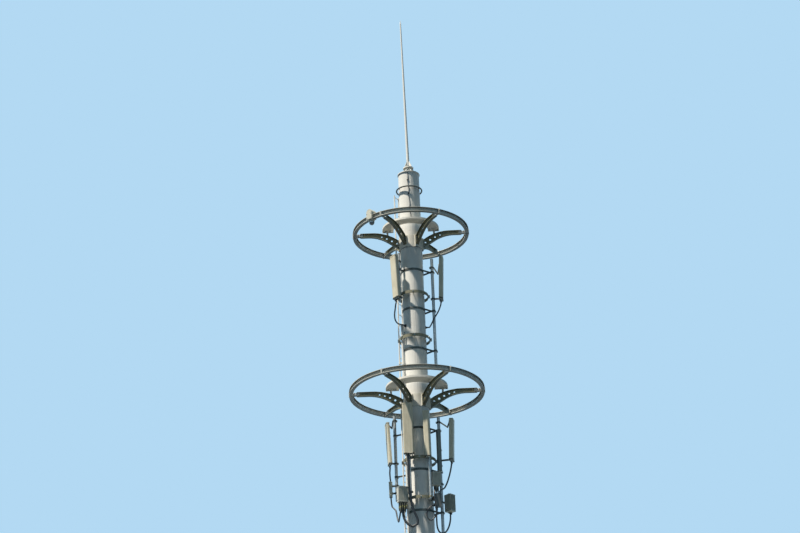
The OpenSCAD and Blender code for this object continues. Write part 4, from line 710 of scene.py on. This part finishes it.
class TOWER_OT_foot_fittings(bpy.types.Operator):
    """Add the anchor rods with their nuts, the welds of the foot and the screws of the hand-hole cover"""

    bl_idname = "tower.foot_fittings"
    bl_label = "Foot fittings"

    def execute(self, context):
        fittings = context.scene.tower_fittings
        sides = [i * 360 / ANCHORS for i in range(ANCHORS)]
        rod_r, rod_foot, rod_stand, nut_r = fittings.anchor_d / 2, 0.002, 0.060, 0.0375
        washer, full_nut, lock_nut = (0.092, 0.092, 0.010), (0.050, 0.034), (0.086, 0.018)
        bm = bmesh.new()
        add_round(bm, shift(z=rod_foot), rod_r, rod_r, BASE_T + rod_stand, 16)
        add_block(bm, shift(z=BASE_T), washer, 0.0015)
        for low, height in (full_nut, lock_nut):
            nut = add_round(bm, shift(z=low), nut_r, nut_r, height, 6)
            rims = [e for v in nut for e in v.link_edges if abs(e.verts[0].co.z - e.verts[1].co.z) < 1e-5]
            break_edges(bm, rims, 0.003)
        # The thread's turns are drawn 8 mm apart instead of 4.5 so that they show.
        turn_h, thread_z, thread_depth = 0.008, 0.104, 0.0022
        for turn in range(6):
            add_round(bm, shift(z=thread_z + turn * turn_h), rod_r, rod_r - thread_depth, turn_h, 16)
        places = [Matrix.Translation(polar(ANCHOR_R, side)) @ turned(side) for side in sides]
        keep_copies("anchor_rods", "bright_fastener_zinc", "galvanised", (as_mesh(bm), places))

        bm = bmesh.new()
        # The ring weld reaches 4 mm into the pole; the gussets' welds start clear of it.
        foot_r, leg, clear = pole_r(BASE_T), 0.018, 0.012
        root = foot_r - 0.004
        spin_section(bm, ((root, BASE_T), (root + leg, BASE_T), (root, BASE_T + leg)), 96)
        for side in (side + 180 / ANCHORS for side in sides):
            for edge in ENDS:
                across = polar(edge * GUSSET_T / 2, side + 90)
                line = [polar(r, side, BASE_T + 0.001) + across for r in (foot_r + clear, GUSSET_R)]
                add_bead(bm, line, 0.012, 0.006, Vector((0, 0, 1)))
        keep_piece("foot_welds", bm, "sun_chalked_pole_paint", 50)

        face, across, rise = -(pole_r(HATCH_Z) + HATCH_FACE), HATCH_W / 2 - 0.017, HATCH_H / 2 - 0.020
        spots = [facing((x * across, face, HATCH_Z + z * rise), (0, -1, 0))
                 for x in ENDS for z in (-1, -0.34, 0.34, 1)]
        keep_fasteners("hand_hole_screws", fittings.screw * 1.2, 0, spots)
        return {"FINISHED"}


class TOWER_OT_pole_seams(bpy.types.Operator):
    """Add the long welds of the pole's sections and a black line at its top that is a painted shadow"""

    bl_idname = "tower.pole_seams"
    bl_label = "Pole seams"

    def execute(self, context):
        width, gap, step_h = context.scene.tower_fittings.bead_w, 0.014, 0.5
        bm = bmesh.new()
        heights = (BASE_T + 0.02, *JOINTS, POLE_H)
        for i, (low, top) in enumerate(zip(heights, heights[1:])):
            steps = max(2, round((top - low) / step_h))
            rises = [low + gap + (top - low - 2 * gap) * k / steps for k in range(steps + 1)]
            # Each section has two seams, turned a little from those of the section below.
            for side in (78 + 7 * i, 262 + 5 * i):
                line = [polar(pole_r(z) - 0.0005, side, z) for z in rises]
                add_bead(bm, line, width, 0.0030, polar(1, side))
        keep_piece("long_pole_welds", bm, "sun_chalked_pole_paint", 60)

        # A black line stands in for a cast shadow on the pole's top (painted shadow): it runs 1.34 m down
        # from the cap, a little slanted and not quite straight, under three small blocks.
        bm = bmesh.new()
        top, drop, steps, start, slant, wave, off = 32.085, 1.34, 24, 264, 9, 1.5, 0.008
        line = []
        for k in range(steps + 1):
            z = top - drop * k / steps
            line.append(polar(pole_r(z) + off, start + slant * k / steps + wave * math.sin(k * 0.9), z))
        add_bead(bm, line, 0.016, 0.008, polar(1, 268))
        for k in (4, 11, 18):
            place = facing(line[k] - polar(off, 268), polar(1, 266 + slant * k / steps))
            add_block(bm, place, (0.052, 0.024, 0.018), 0.003)
        keep_piece("painted_shadow_line", bm, "black_cable_jacket", 50)
        return {"FINISHED"}


class TOWER_OT_frame_bolts(bpy.types.Operator):
    """Add the bolts of the rings' joints, of the lugs that grip the arms and of the arms' root plates"""

    bl_idname = "tower.frame_bolts"
    bl_label = "Frame bolts"

    def execute(self, context):
        across, tip = context.scene.tower_fittings.frame_bolt, 0.008
        joints, roots = [], []
        for ring_z, ring_r, root_r, rows in RINGS:
            for side in ARM_SIDES:
                for way in sideways(side):
                    joints += [facing(polar(ring_r + dr, side, ring_z + dz) + way * face, way)
                               for dr, rises, face in JOINT_BOLTS for dz in rises]
                    roots += [facing(polar(root_r, side, ring_z + dz) + way * ROOT_BOLT_OFF, polar(1, side))
                              for dz in rows]
        keep_fasteners("ring_joint_bolts", across, tip, joints)
        keep_fasteners("arm_root_bolts", across, tip, roots)
        return {"FINISHED"}


class TOWER_OT_platform_treads(bpy.types.Operator):
    """Add the raised treads of the platforms and the nuts that hold their plates"""

    bl_idname = "tower.platform_treads"
    bl_label = "Platform treads"

    def execute(self, context):
        fittings = context.scene.tower_fittings
        # A tread is a flat six-sided lug, 32 mm long. The rows start clear of the inner rim.
        pitch, narrow, first_row, rim = fittings.tread_pitch, 0.42, 0.028, 0.06
        first_side, swing, nut_half = 182, 176, 0.030
        bm = bmesh.new()
        add_round(bm, Matrix(), 0.016, 0.010, 0.003, 6)
        bmesh.ops.scale(bm, vec=(1, narrow, 1), verts=bm.verts)
        treads, nuts = [], []
        for ring_z, out_r in DECKS:
            top = ring_z + DECK_TOP
            for row in range(round((out_r - rim - DECK_IN_R) / pitch) + 1):
                r = DECK_IN_R + first_row + row * pitch
                count = round(math.pi * r / pitch)
                for k in range(count):
                    side = first_side + swing * (k + 0.5) / count
                    cross = turned(side + 45 + 90 * ((k + row) % 2))
                    treads.append(Matrix.Translation(polar(r, side, top - 0.0002)) @ cross)
            nuts += [facing(polar(out_r - DECK_NUT_IN + dr, side, top), (0, 0, 1))
                     for side in DECK_NUTS for dr in (-nut_half, nut_half)]
        keep_copies("platform_treads", "trodden_deck_paint", "frame_paint", (as_mesh(bm), treads))
        keep_fasteners("platform_nuts", fittings.grip_bolt, 0.004, nuts)
        return {"FINISHED"}


class TOWER_OT_hoop_bolts(bpy.types.Operator):
    """Add the closing bolts of the hoops and the nuts on their studs"""

    bl_idname = "tower.hoop_bolts"
    bl_label = "Hoop bolts"

    def execute(self, context):
        places, lug_off, lug_face, rise = [], 0.032, 0.010, 0.021
        for z in HOOPS:
            r_in = pole_r(z) + HOOP_GAP
            for side in (0, 180):
                for way in sideways(side):
                    places += [facing(polar(r_in + lug_off, side, z + dz) + way * lug_face, way)
                               for dz in (-rise, rise)]
            for side in HOOP_STUDS:
                places.append(facing(polar(r_in + HOOP_T - HOOP_SEAT, side, z), polar(1, side)))
                places.append(facing(polar(r_in + HOOP_SEAT, side, z), polar(-1, side)))
        keep_fasteners("hoop_bolts", context.scene.tower_fittings.frame_bolt, 0.009, places)
        return {"FINISHED"}


def level_seats():
    """Pipe, seat point, side it faces and half the spread of the seat's bolts, of every level bracket."""
    rows = [(PANELS[name][0], panel_back(name, rise), PANELS[name][3], half)
            for name, rise, half in LEVEL_BRACKETS]
    rows += [("right", SLIM_AT + Vector((0, 0, rise)), SLIM_FACE, SLIM_SPREAD) for rise in SLIM_RISES]
    at, side, width = RADIOS["left_radio"][:3]
    seat = at + polar(-width / 2, side - 90, LEFT_RADIO_RISE)
    rows.append(("front_left", seat, side - 90, LEFT_RADIO_SPREAD))
    at, side = RADIOS["small_radio"][:2]
    rows += [("left", at + Vector((SMALL_RADIO_BACK, 0, rise)), side, SMALL_RADIO_SPREAD)
             for rise in SMALL_RADIO_RISES]
    for name, off, rise, half in RADIO_BRACKETS:
        at, side, _, depth = RADIOS[name][:4]
        rows.append(("right", at - polar(depth / 2, side) - polar(off, side - 90, -rise), side, half))
    seat = SPLITTER_AT + Vector((-SPLITTER_W / 2, SPLITTER_SEAT_Y, SPLITTER_RISE))
    rows.append(("front_right", seat, 0, SPLITTER_SPREAD))
    return rows


class TOWER_OT_grip_bolts(bpy.types.Operator):
    """Add the bolts of the pole clamps, of the grips on the pipes and of the brackets"""

    bl_idname = "tower.grip_bolts"
    bl_label = "Grip bolts"

    def execute(self, context):
        places = []

        def through(middle, way, half, rise):
            """Bolt heads and nuts on both sides of a pair of lugs, in two rows."""
            for dz in (-rise, rise):
                for edge in ENDS:
                    places.append(facing(middle + Vector((0, 0, dz)) + way * half * edge, way * edge))

        def grip(pipe, z, side, half=0.018, out=0.011, rise=0.013):
            """The bolts of a grip on a pipe, on the side where its lugs are."""
            at, size = PIPES[pipe]
            through(at + polar(size / 2 + GRIP_T + out, side, z), polar(1, side + 90), half, rise)

        def seat_bolts(plate, side, half):
            """The two bolts behind a seat plate."""
            places.extend(facing(plate + polar(edge * half, side + 90), polar(-1, side)) for edge in ENDS)

        # Every clamp holds the right pipe; the other pipes hang on single clamps and on the hoops near them.
        lug_off, lug_half, lug_rise, hoop_rise, right_lugs = 0.026, 0.022, 0.014, 0.010, 60
        for z in CLAMPS:
            through(Vector((0, pole_r(z) + lug_off, z)), Vector((1, 0, 0)), lug_half, lug_rise)
            grip("right", z, right_lugs)
        grip("upper_left", CLAMPS[0], UPPER_LEFT + 90)
        for z in CLAMPS[3:5]:
            grip("left", z, LEFT - 90)
        grip("front_left", CLAMPS[3], FRONT_LEFT + 90)
        grip("front_right", CLAMPS[3], FRONT_RIGHT - 90)
        grip("upper_left", HOOPS[0], UPPER_LEFT + 70, rise=hoop_rise)
        for z in HOOPS[2:]:
            grip("front_left", z, FRONT_LEFT + 70, rise=hoop_rise)
            grip("front_right", z, FRONT_RIGHT + 70, rise=hoop_rise)
        for pipe, seat, side, half in level_seats():
            plate = seat - polar(PLATE_T, side)
            away = PIPES[pipe][0] - plate
            grip(pipe, seat.z, math.degrees(math.atan2(away.y, away.x)), 0.020, 0.009, 0.011)
            seat_bolts(plate, side, half)
        for name, rise, drop in TILT_BRACKETS:
            pipe, _, z, side = PANELS[name][:4]
            grip(pipe, z + rise - drop, side + 180, rise=0.011)
            seat_bolts(panel_back(name, rise) - polar(PLATE_T, side), side, TILT_SPREAD)
        keep_fasteners("grip_bolts", context.scene.tower_fittings.grip_bolt, 0.010, places)
        return {"FINISHED"}


class TOWER_OT_antenna_ends(bpy.types.Operator):
    """Add the dark lower end caps of the antennas, cut from copies of the shells"""

    bl_idname = "tower.antenna_ends"
    bl_label = "Antenna ends"

    def execute(self, context):
        low, high, wall = -0.0004, 0.0262, 0.0016
        for name in PANELS:
            width, depth = PANELS[name][4:6]
            place = panel_frame(name)
            bm = bmesh.new()
            add_copy(bm, name)
            bmesh.ops.transform(bm, matrix=place.inverted(), verts=bm.verts)
            cut_level(bm, high, True)
            cut_level(bm, low, False)
            close_holes(bm)
            middle = shift(0, depth / 2, high / 2)
            grow = middle @ Matrix.Diagonal((1 + wall / width, 1 + wall / depth, 1.02, 1)) @ middle.inverted()
            bmesh.ops.transform(bm, matrix=place @ grow, verts=bm.verts)
            keep_piece(name.replace("_panel", "_end_cap"), bm, "moulded_end_cap", 32)
        return {"FINISHED"}


class TOWER_OT_connectors(bpy.types.Operator):
    """Add nuts, boots, caps, surge arresters and sealing sleeves below the antennas and radio units"""

    bl_idname = "tower.connectors"
    bl_label = "Connectors"

    def execute(self, context):
        used, spare, arrested = [], [], []
        for name in PANELS:
            depth, count, cabled = PANELS[name][5:]
            for i in range(count):
                spot = shift((i - (count - 1) / 2) * SOCKET_PITCH, depth / 2, -SOCKET_H)
                (used if i == cabled else spare).append(panel_frame(name) @ spot)
        slim = Matrix.Translation(SLIM_AT) @ turned(SLIM_FACE - 90)
        spare += [slim @ shift(i * SOCKET_PITCH, SLIM_D / 2, -SOCKET_H) for i in (-0.5, 0.5)]
        for name in RADIOS:
            for i in (-1, 0, 1):
                spot = radio_frame(name) @ shift(i * RADIO_SOCKET_PITCH, RADIOS[name][3] / 2, -RADIO_SOCKET_H)
                group = arrested if name in ("left_radio", "right_radio") else spare if i else used
                group.append(spot)

        # A coupling nut has 12 flats and a collar.
        nut = drums((-0.002, 0.0185, 0.0185, 0.014, 12), (0.012, 0.0170, 0.0162, 0.006, 12))
        keep_copies("coupling_nuts", "nickel_plated_brass", "galvanised", (nut, used + spare + arrested))

        down = Matrix.Rotation(math.pi, 4, "X")
        used, spare, arrested = ([spot @ down for spot in spots] for spots in (used, spare, arrested))
        cap = drums((0, 0.0165, 0.0165, 0.012, 12), (0.012, 0.0140, 0.0105, 0.026, 12))
        boot = drums((0, 0.0200, 0.0200, 0.022, 14), (0.022, 0.0190, 0.0150, 0.060, 14))
        keep_copies("boots_and_dust_caps", "black_moulded_rubber", "cable_rubber", (cap, spare), (boot, used))

        # Surge arresters hang in line with the leads of the two larger radio units.
        arrester = drums((0, 0.0190, 0.0190, 0.016, 6), (0.016, 0.0225, 0.0225, 0.086, 12),
                         (0.102, 0.0190, 0.0190, 0.014, 6), (0.116, 0.0195, 0.0160, 0.040, 12))
        keep_copies("surge_arresters", "moulded_end_cap", "dark_radio_paint", (arrester, arrested))

        # Feeds that are capped off end in sealing sleeves, in two rows beside the leads, each with a ring
        # of marking tape.
        place, middle = radio_frame("left_radio"), RADIOS["left_radio"][3] / 2
        sleeves = [place @ shift(column * SLEEVE_PITCH, middle + row * SLEEVE_ROW, 0.002) @ down
                   @ Matrix.Diagonal((1, 1, stretch, 1)) for row, column, stretch in SLEEVES]
        sleeve = drums((0, 0.0200, 0.0200, 0.020, 12), (0.020, 0.0215, 0.0210, 0.120, 12),
                       (0.140, 0.0205, 0.0120, 0.045, 12))
        keep_copies("sealing_sleeves", "moulded_end_cap", "cable_rubber", (sleeve, sleeves))
        tape = drums((0.092, 0.0226, 0.0225, 0.020, 12))
        keep_copies("marking_tape_rings", "yellow_green_pvc_tape", "cable_rubber", (tape, sleeves))
        return {"FINISHED"}


class TOWER_OT_cable_looms(bpy.types.Operator):
    """Dress the jumper cables in loom tubes, from copies of the solids"""

    bl_idname = "tower.cable_looms"
    bl_label = "Cable looms"

    def execute(self, context):
        # The thickest lead runs from the front left antenna to the left radio unit, its feeds in one loom.
        wall, thick_wall, near = 0.006, 0.013, 0.03
        name = "front_left_panel"
        start = panel_frame(name) @ Vector((SOCKET_PITCH / 2, PANELS[name][5] / 2, -SOCKET_H))
        for node in ("upper_cables", "lower_cables"):
            bm = bmesh.new()
            add_copy(bm, node)
            bmesh.ops.recalc_face_normals(bm, faces=bm.faces)
            bm.normal_update()
            left = set(bm.verts)
            while left:
                lead, edge = set(), {left.pop()}
                while edge:
                    lead |= edge
                    edge = {e.other_vert(v) for v in edge for e in v.link_edges} - lead
                left -= lead
                grow = thick_wall if min((v.co - start).length for v in lead) < near else wall
                for v in lead:
                    v.co += v.normal * grow
            loom = node.replace("cables", "cable_looms")
            piece = keep_piece(loom, bm, "black_cable_jacket", 50)
            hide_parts(node)
        return {"FINISHED"}


class TOWER_OT_lug_highlight_plates(bpy.types.Operator):
    """Add thin white plates in the pole's paint over the lugs between the arms and the rings: a painted
    highlight where sunlight makes the lugs look white
    """

    bl_idname = "tower.lug_covers"
    bl_label = "Lug highlight plates"

    def execute(self, context):
        bm = bmesh.new()
        for ring_z, ring_r, _, _ in RINGS:
            for side in ARM_SIDES:
                for way in sideways(side):
                    at = polar(ring_r - LUG_IN, side, ring_z - LUG_DROP) + way * LUG_FACE
                    add_block(bm, facing(at, way), LUG_HIGHLIGHT_PLATE, 0.001)
        # White plates over the lugs: painted highlight of the sunlit lugs.
        keep_piece("lug_covers", bm, "sun_chalked_pole_paint")
        return {"FINISHED"}


class TOWER_OT_radio_fittings(bpy.types.Operator):
    """Add the lids, side hatches and screws of the radio units and the splitter box"""

    bl_idname = "tower.radio_fittings"
    bl_label = "Radio fittings"

    def execute(self, context):
        # How far the lid covers the box and its height, the hatches' thickness, how far in the screws sit
        spots, cover, lid_h, hatch_t, inset, corner = [], 0.006, 0.010, 0.006, 0.011, 0.012
        lid_w, lid_d, screw_low, screw_drop = 0.010, 0.008, 0.012, 0.018
        for name, (_, _, width, depth, height, finish) in RADIOS.items():
            place = radio_frame(name)
            bm = bmesh.new()
            lid = place @ shift(0, depth / 2, height - cover)
            add_block(bm, lid, (width + lid_w, depth + lid_d, lid_h), 0.002)
            hatch_h, hatch_d = height * 0.42, depth * 0.62
            for edge in ENDS:
                side = place @ shift(edge * (width / 2 - 0.0005), depth * 0.45, height * 0.36)
                side = side @ Matrix.Rotation(edge * math.pi / 2, 4, "Y")
                add_block(bm, side, (hatch_h, hatch_d, hatch_t), 0.0015)
                spots += [side @ shift(a * (hatch_h / 2 - inset), b * (hatch_d / 2 - inset), 0.0055)
                          for a in ENDS for b in ENDS]
            spots += [place @ facing((x * (width / 2 - corner), depth - 0.0003, z), (0, 1, 0))
                      for x in ENDS for z in (screw_low, height - screw_drop)]
            keep_piece(name + "_lid_and_hatches", bm, finish)
        across, low = SPLITTER_W / 2 - 0.006, 0.008
        spots += [facing(SPLITTER_AT + Vector((x * across, -SPLITTER_D / 2, z)), (0, -1, 0))
                  for x in ENDS for z in (low, SPLITTER_H - low)]
        keep_fasteners("box_screws", context.scene.tower_fittings.screw, 0, spots, "rolled_stainless_band")
        return {"FINISHED"}


class TOWER_OT_conduit_fittings(bpy.types.Operator):
    """Add the couplings of the conduit and the screws of its clips"""

    bl_idname = "tower.conduit_fittings"
    bl_label = "Conduit fittings"

    def execute(self, context):
        coupling_h, coupling_in, coupling_out, bolt_in, clip_face = 0.100, 0.001, 0.0045, 0.034, 0.0363
        bm = bmesh.new()
        for z in COUPLINGS:
            place = on_slope(CONDUIT_SIDE, z, CONDUIT_OFF) @ shift(z=-coupling_h / 2)
            add_hoop(bm, place, CONDUIT_R - coupling_in, CONDUIT_R + coupling_out, coupling_h, 40)
        keep_piece("conduit_couplings", bm, "sun_chalked_pole_paint")
        places = [on_slope(CONDUIT_SIDE, z, CONDUIT_OFF)
                  @ facing((-bolt_in, edge * clip_face, 0), (0, edge, 0)) for z in CLIPS for edge in ENDS]
        keep_fasteners("conduit_clip_bolts", context.scene.tower_fittings.grip_bolt, 0.004, places)
        return {"FINISHED"}


class TOWER_OT_ladder_bolts(bpy.types.Operator):
    """Add the bolts of the ladder's brackets and of its joints"""

    bl_idname = "tower.ladder_bolts"
    bl_label = "Ladder bolts"

    def execute(self, context):
        # Bolts through the brackets: their faces and depths behind the ladder. Bolts on the pole: their sides
        places, faces, depths, turns = [], ((0.082, -1), (0.090, 1)), (-0.056, -0.086), (21, 30)
        pad_face, pad_drop, stringer_half, joint_rise = 0.0070, 0.025, 0.0225, 0.014
        for near in LADDER_HOLDS:
            # A bracket sits midway between two rungs.
            z = LADDER_LOW + RUNG_PITCH * (math.floor((near - LADDER_LOW) / RUNG_PITCH) + 0.5)
            base = on_slope(LADDER_SIDE, z, LADDER_OFF)
            for edge in ENDS:
                for face, way in faces:
                    places += [base @ facing((dx, edge * face, 0), (0, way * edge, 0)) for dx in depths]
                for side in (LADDER_SIDE + edge * turn for turn in turns):
                    places.append(facing(polar(pole_r(z - pad_drop) + pad_face, side, z), polar(1, side)))
        for z in LADDER_JOINTS:
            base = on_slope(LADDER_SIDE, z, LADDER_OFF)
            places += [base @ facing((stringer_half, edge * LADDER_W / 2, dz), (1, 0, 0))
                       for edge in ENDS for dz in (-joint_rise, joint_rise)]
        keep_fasteners("ladder_bolts", context.scene.tower_fittings.grip_bolt, 0.004, places)
        return {"FINISHED"}


class TOWER_OT_top_fittings(bpy.types.Operator):
    """Add the flange bolts below the lightning rod"""

    bl_idname = "tower.top_fittings"
    bl_label = "Top fittings"

    def execute(self, context):
        places = [facing(polar(ROD_BOLT_R, side, z), (0, 0, way)) for side in (0, 90, 180, 270)
                  for z, way in ((ROD_BOLT_TOP, 1), (ROD_BOLT_LOW, -1))]
        keep_fasteners("rod_flange_bolts", context.scene.tower_fittings.frame_bolt, 0.008, places)
        return {"FINISHED"}


class TOWER_OT_camera_dome(bpy.types.Operator):
    """Add the smoked dome, the band and the screws of the camera unit on the upper ring"""

    bl_idname = "tower.camera_dome"
    bl_label = "Camera dome"

    def execute(self, context):
        ring_z, ring_r = RINGS[0][:2]
        middle = Matrix.Translation(polar(ring_r - CAMERA_IN, CAMERA_SIDE, ring_z - CAMERA_DROP))
        bm = bmesh.new()
        bmesh.ops.create_uvsphere(bm, u_segments=48, v_segments=24, radius=DOME_R)
        cut_level(bm, 0.002, True)
        close_holes(bm)
        bmesh.ops.transform(bm, matrix=middle, verts=bm.verts)
        keep_piece("camera_dome_cover", bm, "smoked_polycarbonate", 40)
        bm = bmesh.new()
        add_hoop(bm, middle, DOME_R - 0.0015, DOME_R + 0.0025, 0.014, 48)
        keep_piece("camera_dome_band", bm, "rolled_stainless_band")
        # The saddle's screws: heights, half their spread, the inner and outer face that they stand on
        places, rises, half, faces = [], (-0.040, 0.080), 0.070, ((-0.118, -1), (0.056, 1))
        for dz in rises:
            for edge in ENDS:
                for dr, way in faces:
                    at = polar(ring_r + dr, CAMERA_SIDE, ring_z + dz) + polar(edge * half, CAMERA_SIDE + 90)
                    places.append(facing(at, polar(way, CAMERA_SIDE)))
        screw = context.scene.tower_fittings.screw
        keep_fasteners("camera_screws", screw, 0, places, "rolled_stainless_band")
        return {"FINISHED"}


class TOWER_OT_stage(bpy.types.Operator):
    """Add the floor, the backdrop, the lamp and the camera"""

    bl_idname = "tower.stage"
    bl_label = "Stage"

    def execute(self, context):
        scene = context.scene
        stage = scene.tower_stage
        studio_floor("matt_studio_floor", stage.floor_colour)
        bm = bmesh.new()
        bmesh.ops.create_circle(bm, cap_ends=True, segments=96, radius=stage.floor_radius)
        mesh = as_mesh(bm, "studio_floor")
        mesh.materials.append(finish_named("matt_studio_floor"))
        floor = link_object("studio_floor", mesh)

        # The fill is dim from the level down and grows to a soft blue above.
        # The camera, gloss and glass see the plain backdrop.
        world = bpy.data.worlds.new("studio_backdrop")
        scene.world = world
        world.use_nodes = True
        tree = world.node_tree
        tree.nodes.clear()
        ray = add_node(tree, "LightPath").outputs
        either = {"operation": "MAXIMUM"}
        direct = add_node(tree, "Math", either, {0: ray["Is Camera Ray"], 1: ray["Is Transmission Ray"]})
        seen = add_node(tree, "Math", either, {0: direct, 1: ray["Is Glossy Ray"]})
        way = add_node(tree, "TexCoord").outputs["Generated"]
        height = add_node(tree, "SeparateXYZ", None, {"Vector": way}).outputs["Z"]
        span = (-0.1, 0.8, stage.ground_strength, stage.sky_strength)
        level = add_node(tree, "MapRange", {RANGE: span}, {"Value": height})
        fill = add_node(tree, "Background", {"Color": linear(stage.fill_colour)}, {"Strength": level})
        backdrop = add_node(tree, "Background", {"Color": linear(stage.backdrop_colour), "Strength": 1.0})
        mixed = add_node(tree, "MixShader", None, {0: seen, 1: fill, 2: backdrop})
        add_node(tree, "OutputWorld", None, {"Surface": mixed})

        data = bpy.data.lights.new("key_lamp", "SUN")
        data.energy = stage.key_strength
        data.angle = stage.key_spread
        data.color = linear(stage.key_colour)[:3]
        lamp = link_object("key_lamp", data)
        side, up = stage.key_side, stage.key_height
        away = Vector((-math.sin(side) * math.cos(up), -math.cos(side) * math.cos(up), math.sin(up)))
        lamp.matrix_world = away.to_track_quat("Z", "Y").to_matrix().to_4x4()

        pitch, yaw, roll = stage.camera_pitch, stage.camera_yaw, stage.camera_roll
        forward = Vector((math.sin(yaw) * math.cos(pitch), math.cos(yaw) * math.cos(pitch), math.sin(pitch)))
        right = Vector((math.cos(yaw), -math.sin(yaw), 0))
        up = right.cross(forward)
        turn, tip = math.cos(roll), math.sin(roll)
        axes = (turn * right - tip * up, tip * right + turn * up, -forward)
        data = bpy.data.cameras.new("photo_camera")
        data.sensor_fit = "HORIZONTAL"
        data.sensor_width = 36.0
        data.lens = stage.camera_lens
        data.clip_end = 500
        camera = link_object("photo_camera", data)
        eye = shift(0, -stage.camera_distance, stage.camera_height)
        camera.matrix_world = eye @ Matrix(axes).transposed().to_4x4()
        scene.camera = camera
        scene.view_settings.view_transform = "Standard"
        return {"FINISHED"}


class TOWER_PT_panel(bpy.types.Panel):
    """Lists the tower's steps in the 3D view's sidebar"""

    bl_idname = "TOWER_PT_panel"
    bl_label = "Monopole Cell Tower"
    bl_space_type = "VIEW_3D"
    bl_region_type = "UI"
    bl_category = "Tower"

    def draw(self, context):
        for step in STEPS:
            self.layout.operator(step.bl_idname)
        for group in (context.scene.tower_finish, context.scene.tower_fittings, context.scene.tower_stage):
            for name in group.bl_rna.properties.keys():
                if name not in ("rna_type", "name"):
                    self.layout.prop(group, name)


STEPS = (
    TOWER_OT_mix_finishes, TOWER_OT_finish_solids, TOWER_OT_foot_fittings, TOWER_OT_pole_seams,
    TOWER_OT_frame_bolts, TOWER_OT_platform_treads, TOWER_OT_hoop_bolts, TOWER_OT_grip_bolts,
    TOWER_OT_antenna_ends, TOWER_OT_connectors, TOWER_OT_cable_looms, TOWER_OT_lug_highlight_plates,
    TOWER_OT_radio_fittings, TOWER_OT_conduit_fittings, TOWER_OT_ladder_bolts, TOWER_OT_top_fittings,
    TOWER_OT_camera_dome, TOWER_OT_stage,
)
CLASSES = (TowerFinish, TowerFittings, TowerStage, *STEPS, TOWER_PT_panel)


def register():
    for cls in CLASSES:
        bpy.utils.register_class(cls)
    bpy.types.Scene.tower_finish = bpy.props.PointerProperty(type=TowerFinish)
    bpy.types.Scene.tower_fittings = bpy.props.PointerProperty(type=TowerFittings)
    bpy.types.Scene.tower_stage = bpy.props.PointerProperty(type=TowerStage)


def unregister():
    del bpy.types.Scene.tower_stage
    del bpy.types.Scene.tower_fittings
    del bpy.types.Scene.tower_finish
    for cls in reversed(CLASSES):
        bpy.utils.unregister_class(cls)


def main():
    register()
    for step in STEPS:
        group, name = step.bl_idname.split(".")
        getattr(getattr(bpy.ops, group), name)()


if __name__ == "__main__":
    main()
